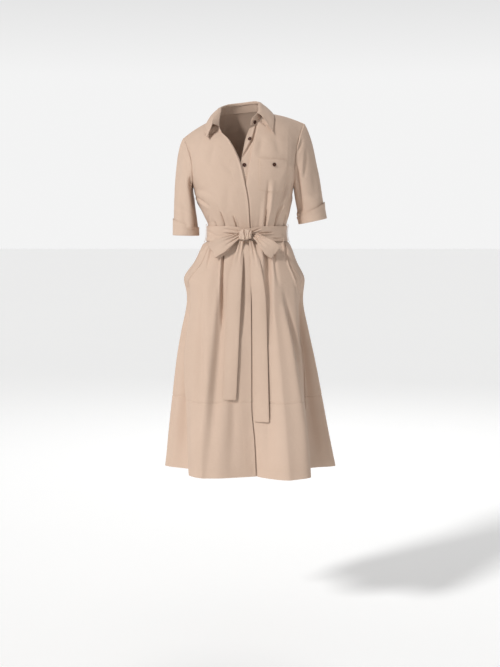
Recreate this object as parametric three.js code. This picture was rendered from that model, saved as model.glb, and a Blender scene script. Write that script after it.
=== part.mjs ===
// Shirt dress in its worn, hollow form.
// Millimetres, +Z up, the front faces -Y, and the wearer's left is +X.
// The origin is the middle of the neck base, where the shoulders carry the dress.
import * as THREE from 'three';

// Levels, and the rows of the skirt's mesh, closer where the belt holds it
const shoulderZ = -41;
const armpitZ = -212;
const waistZ = -349;
const hipZ = -555;
const hemSeamZ = -851;
const hemZ = -1073;
const skirtLevels = [waistZ, -372, -395, -425, -455, -485, -515, hipZ, -645, -745, hemSeamZ];
const hemLevels = [hemSeamZ, -925, -1000, hemZ];
const bodiceLevels = [waistZ, -326, -303, -280, -248, armpitZ];

// Cloth
const wall = 1.5;
const seamGap = 0.3;
const layer = wall + seamGap;
const cuffWall = 2.2;
const leafWall = 1.8;
const beltWall = 2;
const bowWall = 1.4;

// The shoulders tilt, so the body leans sideways more and more above the waist
const shoulderTilt = 0.117;
const tiltCentreX = 11;

// Half widths and depths of the body, as rings at each level
const bodyRings = table(['z', 'centre', 'side', 'front', 'back'], [
  [hemZ, 30, 258, 204, 216],
  [-881, 23, 231, 180, 190],
  [-748, 18, 212, 163, 170],
  [-647, 16, 193, 150, 155],
  [hipZ, 15, 177, 136, 142],
  [-495, 16, 176, 128, 136],
  [-433, 18, 153, 115, 120],
  [-386, 20, 133, 102, 101],
  [-372, 21, 122, 95, 91],
  [waistZ, 21, 119, 91, 87],
  [-326, 22, 120, 94, 89],
  [-296, 20, 130, 104, 94],
  [-262, 16, 141, 114, 101],
  [-229, 12, 149, 121, 106],
  [armpitZ, 12, 152, 123, 108],
]);
const ringPower = 2.25;

// Folds of the skirt. Each row is one line of the cloth from waist to hem: its angle
// at three levels, how far it sinks or stands out at waist and hip, and its radius at the hem
const skirtFolds = table(
  ['station', 'waistAngle', 'hipAngle', 'hemAngle', 'waistOut', 'hipOut', 'hemRadius'], [
    [-180, -180, -180, -180, 0, 0, 236],
    [-158, -158, -158, -156, -2.5, -3, 204],
    [-136, -136, -136, -134, 0, 3, 240],
    [-114, -114, -114, -114, -2.5, -4, 210],
    [-93, -91, -93, -93, 0, 1, 265],
    [-82, -78, -82, -74, -2.5, -4, 180],
    [-69, -66, -69, -51, 0, 3, 228],
    [-44, -48, -44, -38, 0, 3, 238],
    [-31, -40, -31, -28, -3.5, -5, 214],
    [-12, -17, -12, -10, -2.5, 0, 175],
    [6, 4, 6, 5.5, 0, 0, 160],
    [24, 34, 24, 14.5, -3.5, -6, 191],
    [34, 42, 34, 29, 0, 3, 248],
    [51, 52, 51, 43, -3, 0, 247],
    [70, 64, 72, 50, 0, 3, 236],
    [82, 76, 82, 75, -3, -4, 180],
    [93, 90, 93, 92, 0, 1, 266],
    [114, 114, 114, 114, -2.5, -4, 212],
    [136, 136, 136, 134, 0, 3, 240],
    [158, 158, 158, 156, -2.5, -3, 204],
    [180, 180, 180, 180, 0, 0, 236],
  ]);
const hipBulges = table(['station', 'z', 'out'], [[-88, -487, 12], [88, -492, 5]]);
const foldStartZ = -400;
const foldGrowth = 1.35;
const tuckFadeZ = -470;

// Tucks that rise from the waist seam into the bodice
const bodiceTucks = table(['angle', 'depth', 'height', 'lean'], [
  [-56, 3, 40, 0],
  [-40, 4, 85, -10],
  [-17, 3, 50, -7],
  [12, 3.5, 110, 6],
  [36, 3.5, 60, 0],
  [52, 4, 150, 9],
  [76, 3, 45, 2],
  [-155, 3, 80, 3],
  [-128, 3, 70, 3],
  [-104, 2.5, 50, 0],
  [155, 3, 80, -3],
  [128, 3, 70, -3],
  [104, 2.5, 50, 0],
]);
const tuckHalfWidth = 9;

// Free edge of the right front, which lies over the left front
const flyEdge = table(['z', 'x'], [
  [hemZ, 48], [-970, 43], [-865, 34.5], [-650, 34], [-485, 33], [waistZ, 30.5],
  [-333, 29.3], [-264, 25.3], [-216, 17.7], [-183, 10],
]);
const underlap = 25;

// Button line of the left front
const buttonLine = table(['z', 'x'], [
  [waistZ, 18], [-264, 13], [-212, 8], [-148, 14], [-71, 30.5], [-20, 46],
]);
const bandHalfWidth = 13;

// Neckline, from the right front round the back to the left front
const neckline = table(['t', 'x', 'y', 'z'], [
  [0, -54, -79, -52],
  [0.14, -67, -46, -23],
  [0.28, -70, -3, -4],
  [0.4, -47, 42, 9],
  [0.5, 1, 60, 15],
  [0.6, 51, 42, 19],
  [0.72, 70, -3, 13],
  [0.86, 64, -48, -6],
  [1, 33, -78, -30],
]);
const neckRightT = 0.28;
const neckLeftT = 0.72;
const leftFrontNeckT = 0.93;

// Open front edges from the armpit level to the neckline's ends. There t is cornerT, and
// beyond it a front's inner edge follows the neckline to the shoulder seam
const cornerT = 0.625;
const rightOpening = table(['t', 'x', 'y', 'z'], [
  [0, 16.9, -122.4, -212],
  [0.22, 3, -119.5, -152],
  [0.38, -14, -112, -109],
  [0.52, -35, -98, -72],
  [cornerT, -54, -79, -52],
]);
const leftOpening = table(['t', 'x', 'y', 'z'], [
  [0, 12.9, -122.8, -212],
  [0.2, 24, -119.3, -155],
  [0.36, 31, -112, -112],
  [0.5, 41, -98, -68],
  [cornerT, 50.5, -64, -17.5],
]);
const bandEdge = table(['t', 'x', 'y', 'z'], [
  [0, -5, -123, -212],
  [0.2, 2, -120, -153],
  [0.36, 9, -113, -112],
  [0.5, 17.5, -100, -68],
  [cornerT, 31, -80, -34],
]);
const upperShares = [0.12, 0.25, 0.375, 0.5, cornerT, 0.72, 0.81, 0.9, 1];

// Armholes, given for one side: t runs from the armpit to the shoulder point
const armholeFront = table(['t', 'half', 'y', 'z'], [
  [0, 152, 0, armpitZ],
  [0.16, 152, -25, -203],
  [0.32, 152, -44, -178],
  [0.52, 155, -52, -138],
  [0.76, 166, -36, -87],
  [1, 182, 5, shoulderZ],
]);
const armholeBack = table(['t', 'half', 'y', 'z'], [
  [0, 152, 0, armpitZ],
  [0.16, 152, 28, -203],
  [0.32, 153, 51, -176],
  [0.52, 156, 63, -136],
  [0.76, 168, 47, -85],
  [1, 182, 5, shoulderZ],
]);
const armholeCentreX = 12;

// Sleeves end in turned-up cuffs
const sleeves = [
  { side: -1, x: -166, y: 20, z: -358, halfWidth: 41, halfDepth: 50, tilt: 1 },
  { side: 1, x: 223, y: 18, z: -315, halfWidth: 45, halfDepth: 50, tilt: 12 },
];
const cuffHeight = 47;

// Collar: the stand, and the free edge of the leaf that folds over it
const standHeight = 28;
const standLean = 0.4;
const leafEdge = table(['t', 'x', 'y', 'z', 'rise'], [
  [0.06, -95, -92, -66, 15],
  [0.16, -104, -52, -37, 9],
  [0.3, -99, 10, -12, 5],
  [0.4, -68, 70, -2, 4],
  [0.5, 2, 86, 4, 4],
  [0.6, 70, 70, 12, 4],
  [0.7, 95, 12, 14, 3],
  [0.82, 103, -46, -4, 4],
  [0.93, 98, -95, -50, 3],
]);

// Belt and bow
const beltHeight = 45;
const beltCentreZ = -351;
const knot = { x: 18.6, y: -108.8, z: -354, halfX: 19, halfY: 12.5, halfZ: 16.5 };
const bowLoops = [
  { name: 'bow_loop_right', startX: -5, startZ: -357, endX: -84, endZ: -401, drop: 14 },
  { name: 'bow_loop_left', startX: 45, startZ: -355, endX: 108, endZ: -407, drop: 4 },
];
const loopBackY = -101;
const loopWidth = 45;
const loopStartWidth = 20;
const loopBulge = 20;
const rightTail = table(['z', 'x', 'width'], [
  [-841, -30.5, 40], [-605, -19.8, 40], [-487, -14.2, 41],
  [-430, -6, 30], [-400, 0, 20], [-370.9, 5, 13],
]);
const leftTail = table(['z', 'x', 'width'], [
  [-907, 64.5, 45], [-650, 59.5, 43], [-552, 57, 42],
  [-487, 51, 38], [-420, 44, 26], [-395, 39, 19], [-370.9, 33, 13],
]);

// Chest pocket on the left front
const pocket = { left: 58, right: 140, top: -129, drop: 98, tilt: -0.04 };

// Slant pockets at the hips: the sewn line and the open edge of each welt
const weltLines = table(['z', 'seam', 'mouth'], [
  [-512, 77, 87],
  [-470, 67, 80],
  [-430, 62, 74],
  [-388, 62, 70],
]);
const mouthLift = 4;

const buttonRadius = 5.7;
const buttonThickness = 2.6;
const buttonClearance = 0.4;

const cloth = { color: 0xcdb298, roughness: 0.85, metalness: 0 };
const horn = { color: 0x3c2017, roughness: 0.35, metalness: 0 };

function table(columns, rows) {
  return rows.map((row) => Object.fromEntries(columns.map((name, i) => [name, row[i]])));
}

function radians(degrees) {
  return degrees * Math.PI / 180;
}

function blend(a, b, t) {
  return a + (b - a) * t;
}

function fade(edge0, edge1, x) {
  return THREE.MathUtils.smoothstep((x - edge0) / (edge1 - edge0), 0, 1);
}

function hermite(a, slopeA, b, slopeB, t) {
  const t2 = t * t;
  const t3 = t2 * t;
  return a * (2 * t3 - 3 * t2 + 1) + slopeA * (t3 - 2 * t2 + t)
    + b * (3 * t2 - 2 * t3) + slopeB * (t3 - t2);
}

// A smooth curve through one column of a table, with no overshoot between its rows
function smooth(rows, key, column) {
  const sorted = [...rows].sort((a, b) => a[key] - b[key]);
  const xs = sorted.map((row) => row[key]);
  const ys = sorted.map((row) => row[column]);
  const last = xs.length - 1;
  const steps = xs.slice(1).map((x, i) => (ys[i + 1] - ys[i]) / (x - xs[i]));
  const slopes = xs.map((x, i) => {
    if (i === 0) return steps[0];
    if (i === last) return steps[last - 1];
    const product = steps[i - 1] * steps[i];
    return product <= 0 ? 0 : 2 * product / (steps[i - 1] + steps[i]);
  });
  return (x) => {
    const inside = Math.min(Math.max(x, xs[0]), xs[last]);
    const i = Math.max(xs.findIndex((value) => value >= inside) - 1, 0);
    const width = xs[i + 1] - xs[i];
    const t = (inside - xs[i]) / width;
    return hermite(ys[i], slopes[i] * width, ys[i + 1], slopes[i + 1] * width, t);
  };
}

function curve3(rows, names = ['x', 'y', 'z']) {
  const [fx, fy, fz] = names.map((name) => smooth(rows, 't', name));
  return (t) => new THREE.Vector3(fx(t), fy(t), fz(t));
}

function hermite3(a, slopeA, b, slopeB, t) {
  return new THREE.Vector3(
    hermite(a.x, slopeA.x, b.x, slopeB.x, t),
    hermite(a.y, slopeA.y, b.y, slopeB.y, t),
    hermite(a.z, slopeA.z, b.z, slopeB.z, t),
  );
}

const centreAt = smooth(bodyRings, 'z', 'centre');
const sideAt = smooth(bodyRings, 'z', 'side');
const frontAt = smooth(bodyRings, 'z', 'front');
const backAt = smooth(bodyRings, 'z', 'back');
const flyEdgeAt = smooth(flyEdge, 'z', 'x');
const buttonLineAt = smooth(buttonLine, 'z', 'x');
const necklineAt = curve3(neckline);

function ringRadius(angle, z) {
  const sine = Math.abs(Math.sin(radians(angle)));
  const cosine = Math.cos(radians(angle));
  const depth = cosine > 0 ? frontAt(z) : backAt(z);
  const sum = (sine / sideAt(z)) ** ringPower + (Math.abs(cosine) / depth) ** ringPower;
  return sum ** (-1 / ringPower);
}

function tilted(point) {
  const lean = shoulderTilt * fade(waistZ, shoulderZ, point.z);
  point.z += lean * (point.x - tiltCentreX);
  return point;
}

function polar(angle, radius, z) {
  const x = centreAt(z) + radius * Math.sin(radians(angle));
  return new THREE.Vector3(x, -radius * Math.cos(radians(angle)), z);
}

// The angle at which a ring passes a given x on its front
function frontAngle(x, z) {
  let angle = 0;
  for (let i = 0; i < 12; i += 1) {
    const sine = (x - centreAt(z)) / ringRadius(angle, z);
    angle = Math.asin(THREE.MathUtils.clamp(sine, -1, 1)) * 180 / Math.PI;
  }
  return angle;
}

function tuckDepth(angle, z) {
  let depth = 0;
  for (const tuck of bodiceTucks) {
    const rise = (z - waistZ) / tuck.height;
    if (rise > 1) continue;
    const across = radians(angle - tuck.angle - tuck.lean * rise) * ringRadius(angle, z);
    depth += tuck.depth * (1 - rise) * Math.exp(-((across / tuckHalfWidth) ** 2));
  }
  return depth;
}

function bodicePoint(angle, z) {
  return tilted(polar(angle, ringRadius(angle, z) - tuckDepth(angle, z), z));
}

const foldColumns = Object.fromEntries(
  ['waistAngle', 'hipAngle', 'hemAngle', 'waistOut', 'hipOut', 'hemRadius'].map(
    (name) => [name, smooth(skirtFolds, 'station', name)],
  ),
);

function threeLevels(atWaist, atHip, atHem, z) {
  if (z > hipZ) return blend(atWaist, atHip, fade(waistZ, hipZ, z));
  return blend(atHip, atHem, fade(hipZ, 2 * hemZ - hipZ, z) * 2);
}

function skirtAngle(station, z) {
  const at = (name) => foldColumns[name](station);
  return threeLevels(at('waistAngle'), at('hipAngle'), at('hemAngle'), z);
}

function skirtPoint(lineOfCloth, z) {
  const station = THREE.MathUtils.euclideanModulo(lineOfCloth + 180, 360) - 180;
  const at = (name) => foldColumns[name](station);
  const angle = skirtAngle(station, z);
  const hemOut = at('hemRadius') - ringRadius(at('hemAngle'), hemZ);
  const growth = Math.max(0, (foldStartZ - z) / (foldStartZ - hemZ)) ** foldGrowth;
  const tuck = at('waistOut') * (1 - fade(waistZ, tuckFadeZ, z));
  const hip = at('hipOut') * fade(waistZ, hipZ, z) * (1 - fade(hipZ, hemZ, z));
  return polar(angle, ringRadius(angle, z) + hemOut * growth + tuck + hip + pocketBulge(station, z), z);
}

// A pocket pushes the cloth out at the side of the hip
function pocketBulge(station, z) {
  return hipBulges.reduce((sum, bulge) => {
    const across = (station - bulge.station) / 22;
    const up = (z - bulge.z) / 34;
    return sum + bulge.out * Math.exp(-(across ** 2) - up ** 2);
  }, 0);
}

// The station whose line of cloth passes a given x on the skirt's front
function skirtStation(x, z) {
  let low = -60;
  let high = 60;
  for (let i = 0; i < 30; i += 1) {
    const middle = (low + high) / 2;
    if (skirtPoint(middle, z).x < x) low = middle;
    else high = middle;
  }
  return (low + high) / 2;
}

function armholePoint(side, rows, t) {
  const [half, y, z] = curve3(rows, ['half', 'y', 'z'])(t).toArray();
  return tilted(new THREE.Vector3(armholeCentreX + side * half, y, z));
}

const shoulderPoint = {
  '-1': armholePoint(-1, armholeFront, 1),
  1: armholePoint(1, armholeFront, 1),
};

function shoulderSeam(side, along) {
  const point = necklineAt(side < 0 ? neckRightT : neckLeftT).lerp(shoulderPoint[side], along);
  point.z += 5 * Math.sin(Math.PI * along);
  return point;
}

// The upper edge of the back: along the neckline first, then along the shoulder seam
const backNeckShare = 4 / 11;

function backTop(side, u) {
  if (u < backNeckShare) {
    return necklineAt(blend(0.5, side < 0 ? neckRightT : neckLeftT, u / backNeckShare));
  }
  return shoulderSeam(side, (u - backNeckShare) / (1 - backNeckShare));
}

const shoulderShift = 1.3;

// The direction in which a column of the panel reaches its upper edge
function topSlope(panel, u) {
  const towardsBack = panel.face === 'front' ? 1 : -1;
  const overShoulder = new THREE.Vector3(0, towardsBack, 0.13);
  if (panel.face === 'front') return overShoulder.normalize();
  const toNeck = new THREE.Vector3(0, 0.5 * towardsBack, 0.8);
  return toNeck.lerp(overShoulder, Math.min(u / backNeckShare, 1) ** 2).normalize();
}

// Everything above the armpit level: each column of the panel runs up from the armpit ring
// and bends over to the panel's upper edge, and its two outer columns follow the given edges
function upperPanel(panel, u, t) {
  const column = (across) => {
    const low = panel.ringPoint(across, armpitZ);
    const lower = panel.ringPoint(across, armpitZ - 6);
    const top = panel.top(across);
    const reach = 1.15 * low.distanceTo(top);
    const slopeLow = low.clone().sub(lower).normalize().multiplyScalar(reach);
    const slopeTop = topSlope(panel, across).multiplyScalar(reach);
    return hermite3(low, slopeLow, top, slopeTop, t);
  };
  const point = column(u);
  const inner = panel.innerEdge(t).sub(column(0)).multiplyScalar((1 - u) ** 3);
  const outer = panel.outerEdge(t).sub(column(1)).multiplyScalar(u ** 3);
  point.add(inner).add(outer);
  const apart = blend(seamGap / 2 * u ** 3, shoulderShift, fade(0.8, 1, t));
  point.y += panel.face === 'front' ? -apart : apart;
  return point;
}

const lowerShare = 0.4;
const panelRows = [
  ...bodiceLevels.map((z) => lowerShare * (z - waistZ) / (armpitZ - waistZ)),
  ...upperShares.map((t) => lowerShare + (1 - lowerShare) * t),
];

function panelSurface(panel) {
  return (u, v) => {
    if (v < lowerShare) {
      const z = blend(waistZ + seamGap / 2, armpitZ, v / lowerShare);
      return panel.ringPoint(u, z);
    }
    return upperPanel(panel, u, (v - lowerShare) / (1 - lowerShare));
  };
}

function seamAngle(z) {
  return 90 - (seamGap / 2) / sideAt(z) * 180 / Math.PI;
}

function innerEdge(opening, neckStart, neckEnd) {
  const openingAt = curve3(opening);
  return (t) => {
    if (t < cornerT) return openingAt(t);
    return necklineAt(blend(neckStart, neckEnd, (t - cornerT) / (1 - cornerT)));
  };
}

const rightFront = {
  face: 'front',
  ringPoint: (u, z) => bodicePoint(blend(frontAngle(flyEdgeAt(z), z), -seamAngle(z), u), z),
  top: (u) => shoulderSeam(-1, u),
  innerEdge: innerEdge(rightOpening, 0, neckRightT),
  outerEdge: (t) => armholePoint(-1, armholeFront, t),
};

const leftFront = {
  face: 'front',
  ringPoint: (u, z) => bodicePoint(blend(frontAngle(flyEdgeAt(z) - 4, z), seamAngle(z), u), z),
  top: (u) => shoulderSeam(1, u),
  innerEdge: innerEdge(leftOpening, leftFrontNeckT, neckLeftT),
  outerEdge: (t) => armholePoint(1, armholeFront, t),
};

// Half of the back, from its middle to one armhole
function backHalf(side) {
  const half = {
    face: 'back',
    ringPoint: (u, z) => bodicePoint(side * blend(180, 180 - seamAngle(z), u), z),
    top: (u) => backTop(side, u),
    outerEdge: (t) => armholePoint(side, armholeBack, t),
  };
  const middleLow = half.ringPoint(0, armpitZ);
  const middleTop = necklineAt(0.5);
  half.innerEdge = (t) => {
    const rise = new THREE.Vector3(0, 12, 190);
    const over = new THREE.Vector3(0, -100, 130);
    return hermite3(middleLow, rise, middleTop, over, t);
  };
  return half;
}

// How far a layer sinks beneath the free edge of the right front
function sinkUnderFly(x, z, reach) {
  return 1 - fade(flyEdgeAt(z) + 1.5, flyEdgeAt(z) + reach, x);
}

function sample(surface, across, up) {
  return Array.from({ length: up + 1 }, (_, j) => (
    Array.from({ length: across + 1 }, (_, i) => surface(i / across, j / up))
  ));
}

function gridNormals(grid, closed) {
  const rows = grid.length;
  const columns = grid[0].length;
  const at = (j, i) => {
    const column = closed ? (i + columns) % columns : Math.min(Math.max(i, 0), columns - 1);
    return grid[Math.min(Math.max(j, 0), rows - 1)][column];
  };
  return grid.map((row, j) => row.map((_, i) => {
    const across = at(j, i + 1).clone().sub(at(j, i - 1));
    const up = at(j + 1, i).clone().sub(at(j - 1, i));
    return across.cross(up).normalize();
  }));
}

// Points of a grid moved along its normals, away from the point given as inside
function movedOut(grid, distance, inside, closed = false) {
  const normals = gridNormals(grid, closed);
  let facing = 0;
  grid.forEach((row, j) => row.forEach((point, i) => {
    facing += normals[j][i].dot(point.clone().sub(inside).normalize());
  }));
  const sign = Math.sign(facing);
  return grid.map((row, j) => row.map((point, i) => {
    const amount = typeof distance === 'function' ? distance(point, i, j) : distance;
    return point.clone().addScaledVector(normals[j][i], sign * amount);
  }));
}

// A closed solid between an outer grid and an inner one
function solidBetween(outer, inner, closed = false) {
  const rows = outer.length;
  const columns = outer[0].length;
  const points = [...outer.flat(), ...inner.flat()];
  const under = rows * columns;
  const indices = [];
  const quad = (a, b, c, d) => indices.push(a, b, c, a, c, d);
  const spans = closed ? columns : columns - 1;
  for (let j = 0; j < rows - 1; j += 1) {
    for (let i = 0; i < spans; i += 1) {
      const a = j * columns + i;
      const b = j * columns + (i + 1) % columns;
      quad(a, b, b + columns, a + columns);
      quad(under + a, under + a + columns, under + b + columns, under + b);
    }
  }
  for (let i = 0; i < spans; i += 1) {
    const next = (i + 1) % columns;
    const topRow = (rows - 1) * columns;
    quad(i, under + i, under + next, next);
    quad(topRow + i, topRow + next, under + topRow + next, under + topRow + i);
  }
  if (!closed) {
    for (let j = 0; j < rows - 1; j += 1) {
      const a = j * columns;
      const b = a + columns - 1;
      quad(a, a + columns, under + a + columns, under + a);
      quad(b, under + b, under + b + columns, b + columns);
    }
  }
  return closedGeometry(points, indices);
}

function closedGeometry(points, indices) {
  let volume = 0;
  for (let k = 0; k < indices.length; k += 3) {
    const [a, b, c] = [points[indices[k]], points[indices[k + 1]], points[indices[k + 2]]];
    volume += a.dot(b.clone().cross(c));
  }
  const faces = volume > 0 ? indices : [...indices].reverse();
  const geometry = new THREE.BufferGeometry();
  const numbers = points.flatMap((point) => point.toArray());
  geometry.setAttribute('position', new THREE.Float32BufferAttribute(numbers, 3));
  geometry.setIndex(faces);
  geometry.computeVertexNormals();
  return geometry;
}

function clothWall(grid, thickness, inside, closed = false) {
  return solidBetween(grid, movedOut(grid, -thickness, inside, closed), closed);
}

// A wall whose grid has one more column at each side, so that panels that meet at a seam
// turn their inner faces alike there
function seamedWall(wideGrid, thickness, inside) {
  const inner = movedOut(wideGrid, -thickness, inside);
  const trim = (grid) => grid.map((row) => row.slice(1, -1));
  return solidBetween(trim(wideGrid), trim(inner));
}

function wideSample(surface, across) {
  return panelRows.map((v) => (
    Array.from({ length: across + 3 }, (_, i) => surface((i - 1) / across, v))
  ));
}

function piece(name, geometry, finish = cloth) {
  const mesh = new THREE.Mesh(geometry, new THREE.MeshStandardMaterial(finish));
  mesh.name = name;
  return mesh;
}

const bodyInside = new THREE.Vector3(tiltCentreX, 0, -260);
const skirtInside = new THREE.Vector3(20, 0, -700);

const frontColumns = 15;

function bodiceFronts() {
  const right = wideSample(panelSurface(rightFront), frontColumns);
  const leftFlat = wideSample(panelSurface(leftFront), frontColumns);
  const sink = (point) => -leftFrontDepth * sinkUnderFly(point.x, point.z, 15) * fade(-130, -170, point.z);
  const left = movedOut(leftFlat, sink, bodyInside);
  return [
    piece('bodice_front_right', seamedWall(right, wall, bodyInside)),
    piece('bodice_front_left', seamedWall(left, wall, bodyInside)),
  ];
}

function bodiceBack() {
  const across = 11;
  const halves = [-1, 1].map((side) => wideSample(panelSurface(backHalf(side)), across));
  const grid = halves[0].map((row, j) => [...row.slice(2).reverse(), ...halves[1][j].slice(1)]);
  return piece('bodice_back', seamedWall(grid, wall, bodyInside));
}

// A strip that follows a front edge on the inner side of the fronts, with its rows where
// the fronts have theirs
function edgeStrip(name, surface, shares, depth, thickness) {
  const rows = panelRows.filter((v) => v <= lowerShare + (1 - lowerShare) * cornerT);
  const grid = rows.map((v) => shares.map((u) => surface(u, v)));
  return piece(name, clothWall(movedOut(grid, -depth, bodyInside), thickness, bodyInside));
}

// Depths of the layers beneath the right front
const flyDepth = layer + 0.5;
const leftFrontDepth = 2 * layer + 0.6;
const bandDepth = 3 * layer + 1;
const bandTopT = 0.97;
const flyTop = 0.995;

function buttonBand() {
  const edgeAt = curve3(bandEdge);
  const surface = (u, v) => {
    if (v < lowerShare) {
      const z = blend(waistZ + 1, armpitZ, v / lowerShare);
      const x = blend(buttonLineAt(z) - bandHalfWidth, flyEdgeAt(z) - 1, u);
      return bodicePoint(frontAngle(x, z), z);
    }
    const t = bandTopT * (v - lowerShare) / (1 - lowerShare);
    const seam = leftFront.innerEdge(t);
    seam.x += 3;
    return edgeAt(t).lerp(seam, u);
  };
  return edgeStrip('button_band', surface, [0, 0.33, 0.67, 1], bandDepth, wall);
}

function flyPlacket() {
  const flat = panelSurface(rightFront);
  const surface = (u, v) => {
    const t = (v - lowerShare) / (1 - lowerShare);
    const beyond = 0.018 * (1 - Math.min(u * frontColumns, 1)) * fade(0.2, 0.35, t);
    return flat(u - beyond, v * flyTop);
  };
  const shares = [0.005, 1 / frontColumns, 2 / frontColumns];
  return edgeStrip('fly_placket', surface, shares, flyDepth, wall * 0.7);
}

function sleeveSurface(sleeve) {
  const { side } = sleeve;
  const tilt = radians(sleeve.tilt);
  const axis = new THREE.Vector3(side * Math.sin(tilt), 0, -Math.cos(tilt));
  const outward = new THREE.Vector3(side * Math.cos(tilt), 0, Math.sin(tilt));
  const end = new THREE.Vector3(sleeve.x, sleeve.y, sleeve.z).addScaledVector(axis, -1.5);
  const inCuff = cuffWall + seamGap;
  return (turn, v) => {
    const around = turn * 2 * Math.PI;
    const cosine = Math.cos(around);
    const sine = Math.sin(around);
    const low = turn <= 0.5;
    const along = low ? 1 - turn * 2 : turn * 2 - 1;
    const start = armholePoint(side, low ? armholeFront : armholeBack, along);
    const from = new THREE.Vector3(
      side * (0.43 + 0.35 * cosine), -0.35 * sine, -(0.78 - 0.16 * cosine),
    ).normalize();
    start.addScaledVector(from, seamGap + 0.1);
    start.x += side * 0.5;
    const finish = end.clone()
      .addScaledVector(outward, (sleeve.halfWidth - inCuff) * cosine)
      .add(new THREE.Vector3(0, -(sleeve.halfDepth - inCuff) * sine, 0));
    const reach = start.distanceTo(finish);
    const slopeStart = from.multiplyScalar(0.38 * reach);
    const slopeEnd = axis.clone().multiplyScalar(0.8 * reach);
    return hermite3(start, slopeStart, finish, slopeEnd, v);
  };
}

function closedRows(surface, around, ups) {
  return ups.map((v) => Array.from({ length: around }, (_, i) => surface(i / around, v)));
}

function sleevePieces(sleeve) {
  const label = sleeve.side < 0 ? 'right' : 'left';
  const surface = sleeveSurface(sleeve);
  const inside = new THREE.Vector3(sleeve.x - sleeve.side * 12, 8, sleeve.z + 90);
  const cuffShare = cuffHeight / 270;
  const cuffRows = [1 - cuffShare, 1 - cuffShare * 0.5, 1];
  const rows = [0, 0.06, 0.14, 0.25, 0.4, 0.55, 0.7, ...cuffRows];
  const sleeveGrid = closedRows(surface, 24, rows);
  const cuffGrid = closedRows(surface, 24, cuffRows);
  const cuffOuter = movedOut(cuffGrid, cuffWall + seamGap, inside, true);
  const cuffInner = movedOut(cuffGrid, seamGap, inside, true);
  return [
    piece(`sleeve_${label}`, clothWall(sleeveGrid, wall, inside, true)),
    piece(`cuff_${label}`, solidBetween(cuffOuter, cuffInner, true)),
  ];
}

function standPoint(t, v) {
  const base = necklineAt(t);
  const inward = new THREE.Vector3(-base.x, -base.y, 0).normalize();
  const openFront = 1 - fade(0, 0.2, Math.min(t, 1 - t));
  const lean = blend(standLean, -0.25, openFront);
  base.z += seamGap + 0.5;
  base.addScaledVector(inward, 0.4 + lean * standHeight * v);
  base.z += standHeight * v * blend(1, 0.75, openFront);
  return base;
}

// The stand has its columns where the panels below have theirs
function standColumns() {
  const shares = upperShares.filter((t) => t >= cornerT).map((t) => (t - cornerT) / (1 - cornerT));
  const right = shares.map((share) => blend(0, neckRightT, share));
  const left = shares.map((share) => blend(leftFrontNeckT, neckLeftT, share)).reverse();
  const back = [1, 2, 3, 4, 5, 6, 7].map((step) => blend(neckRightT, neckLeftT, step / 8));
  return [...right, ...back, ...left, (1 + leftFrontNeckT) / 2, 1];
}

function collarStand() {
  const grid = [0, 0.5, 1].map((v) => standColumns().map((t) => standPoint(t, v)));
  return piece('collar_stand', clothWall(grid, wall, new THREE.Vector3(0, 0, 30)));
}

const leafEdgeAt = curve3(leafEdge);
const leafRiseAt = smooth(leafEdge, 't', 'rise');

function leafPoint(t, v) {
  const fold = standPoint(t, 1);
  fold.z += leafWall + 1.2;
  const edge = leafEdgeAt(t);
  const point = fold.clone().lerp(edge, v);
  const outward = new THREE.Vector3(fold.x, fold.y, 0).normalize();
  const arch = leafRiseAt(t) * 4 * v * (1 - v);
  point.z += arch * 0.8;
  point.addScaledVector(outward, arch * 0.6);
  return point;
}

function collarLeaf() {
  const first = leafEdge[0].t;
  const last = leafEdge[leafEdge.length - 1].t;
  const surface = (u, v) => leafPoint(blend(first, last, u), v);
  const grid = sample(surface, 26, 4);
  return piece('collar_leaf', clothWall(grid, leafWall, new THREE.Vector3(0, 0, -60)));
}

function skirtPanel(name, fromStation, toStation, levels, across) {
  const grid = levels.map((z) => {
    const from = fromStation(z);
    const to = toStation(z);
    return Array.from({ length: across + 3 }, (_, i) => (
      skirtPoint(blend(from, to, (i - 1) / across), z)
    ));
  });
  const sink = (point) => -(layer + 0.5) * sinkUnderFly(point.x, point.z, 13);
  const isUnder = name.endsWith('front_left');
  const placed = isUnder ? movedOut(grid, sink, skirtInside) : grid;
  return piece(name, seamedWall(placed, wall, skirtInside));
}

function skirtSeam(side) {
  return () => side * (90 - 0.06);
}

function skirtPanels() {
  const flyStation = (z) => skirtStation(flyEdgeAt(z), z);
  const underStation = (z) => skirtStation(flyEdgeAt(z) - underlap, z);
  const edges = {
    front_right: [skirtSeam(-1), flyStation, 18],
    front_left: [underStation, skirtSeam(1), 18],
    back: [() => 90 + 0.06, () => 270 - 0.06, 26],
  };
  const bands = [['skirt', skirtLevels], ['hem', hemLevels]];
  return bands.flatMap(([band, levels]) => {
    const placed = levels.map((z, i) => (i === 0 ? z - seamGap : z));
    return Object.entries(edges).map(([label, [from, to, across]]) => (
      skirtPanel(`${band}_${label}`, from, to, placed, across)
    ));
  });
}

function pocketPoint(surface, x, z) {
  let u = 0.5;
  let v = 0.7;
  const step = 0.002;
  for (let i = 0; i < 12; i += 1) {
    const point = surface(u, v);
    const du = surface(u + step, v).sub(point).divideScalar(step);
    const dv = surface(u, v + step).sub(point).divideScalar(step);
    const det = du.x * dv.z - dv.x * du.z;
    u += ((x - point.x) * dv.z - (z - point.z) * dv.x) / det;
    v += ((z - point.z) * du.x - (x - point.x) * du.z) / det;
  }
  return surface(u, v);
}

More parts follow.
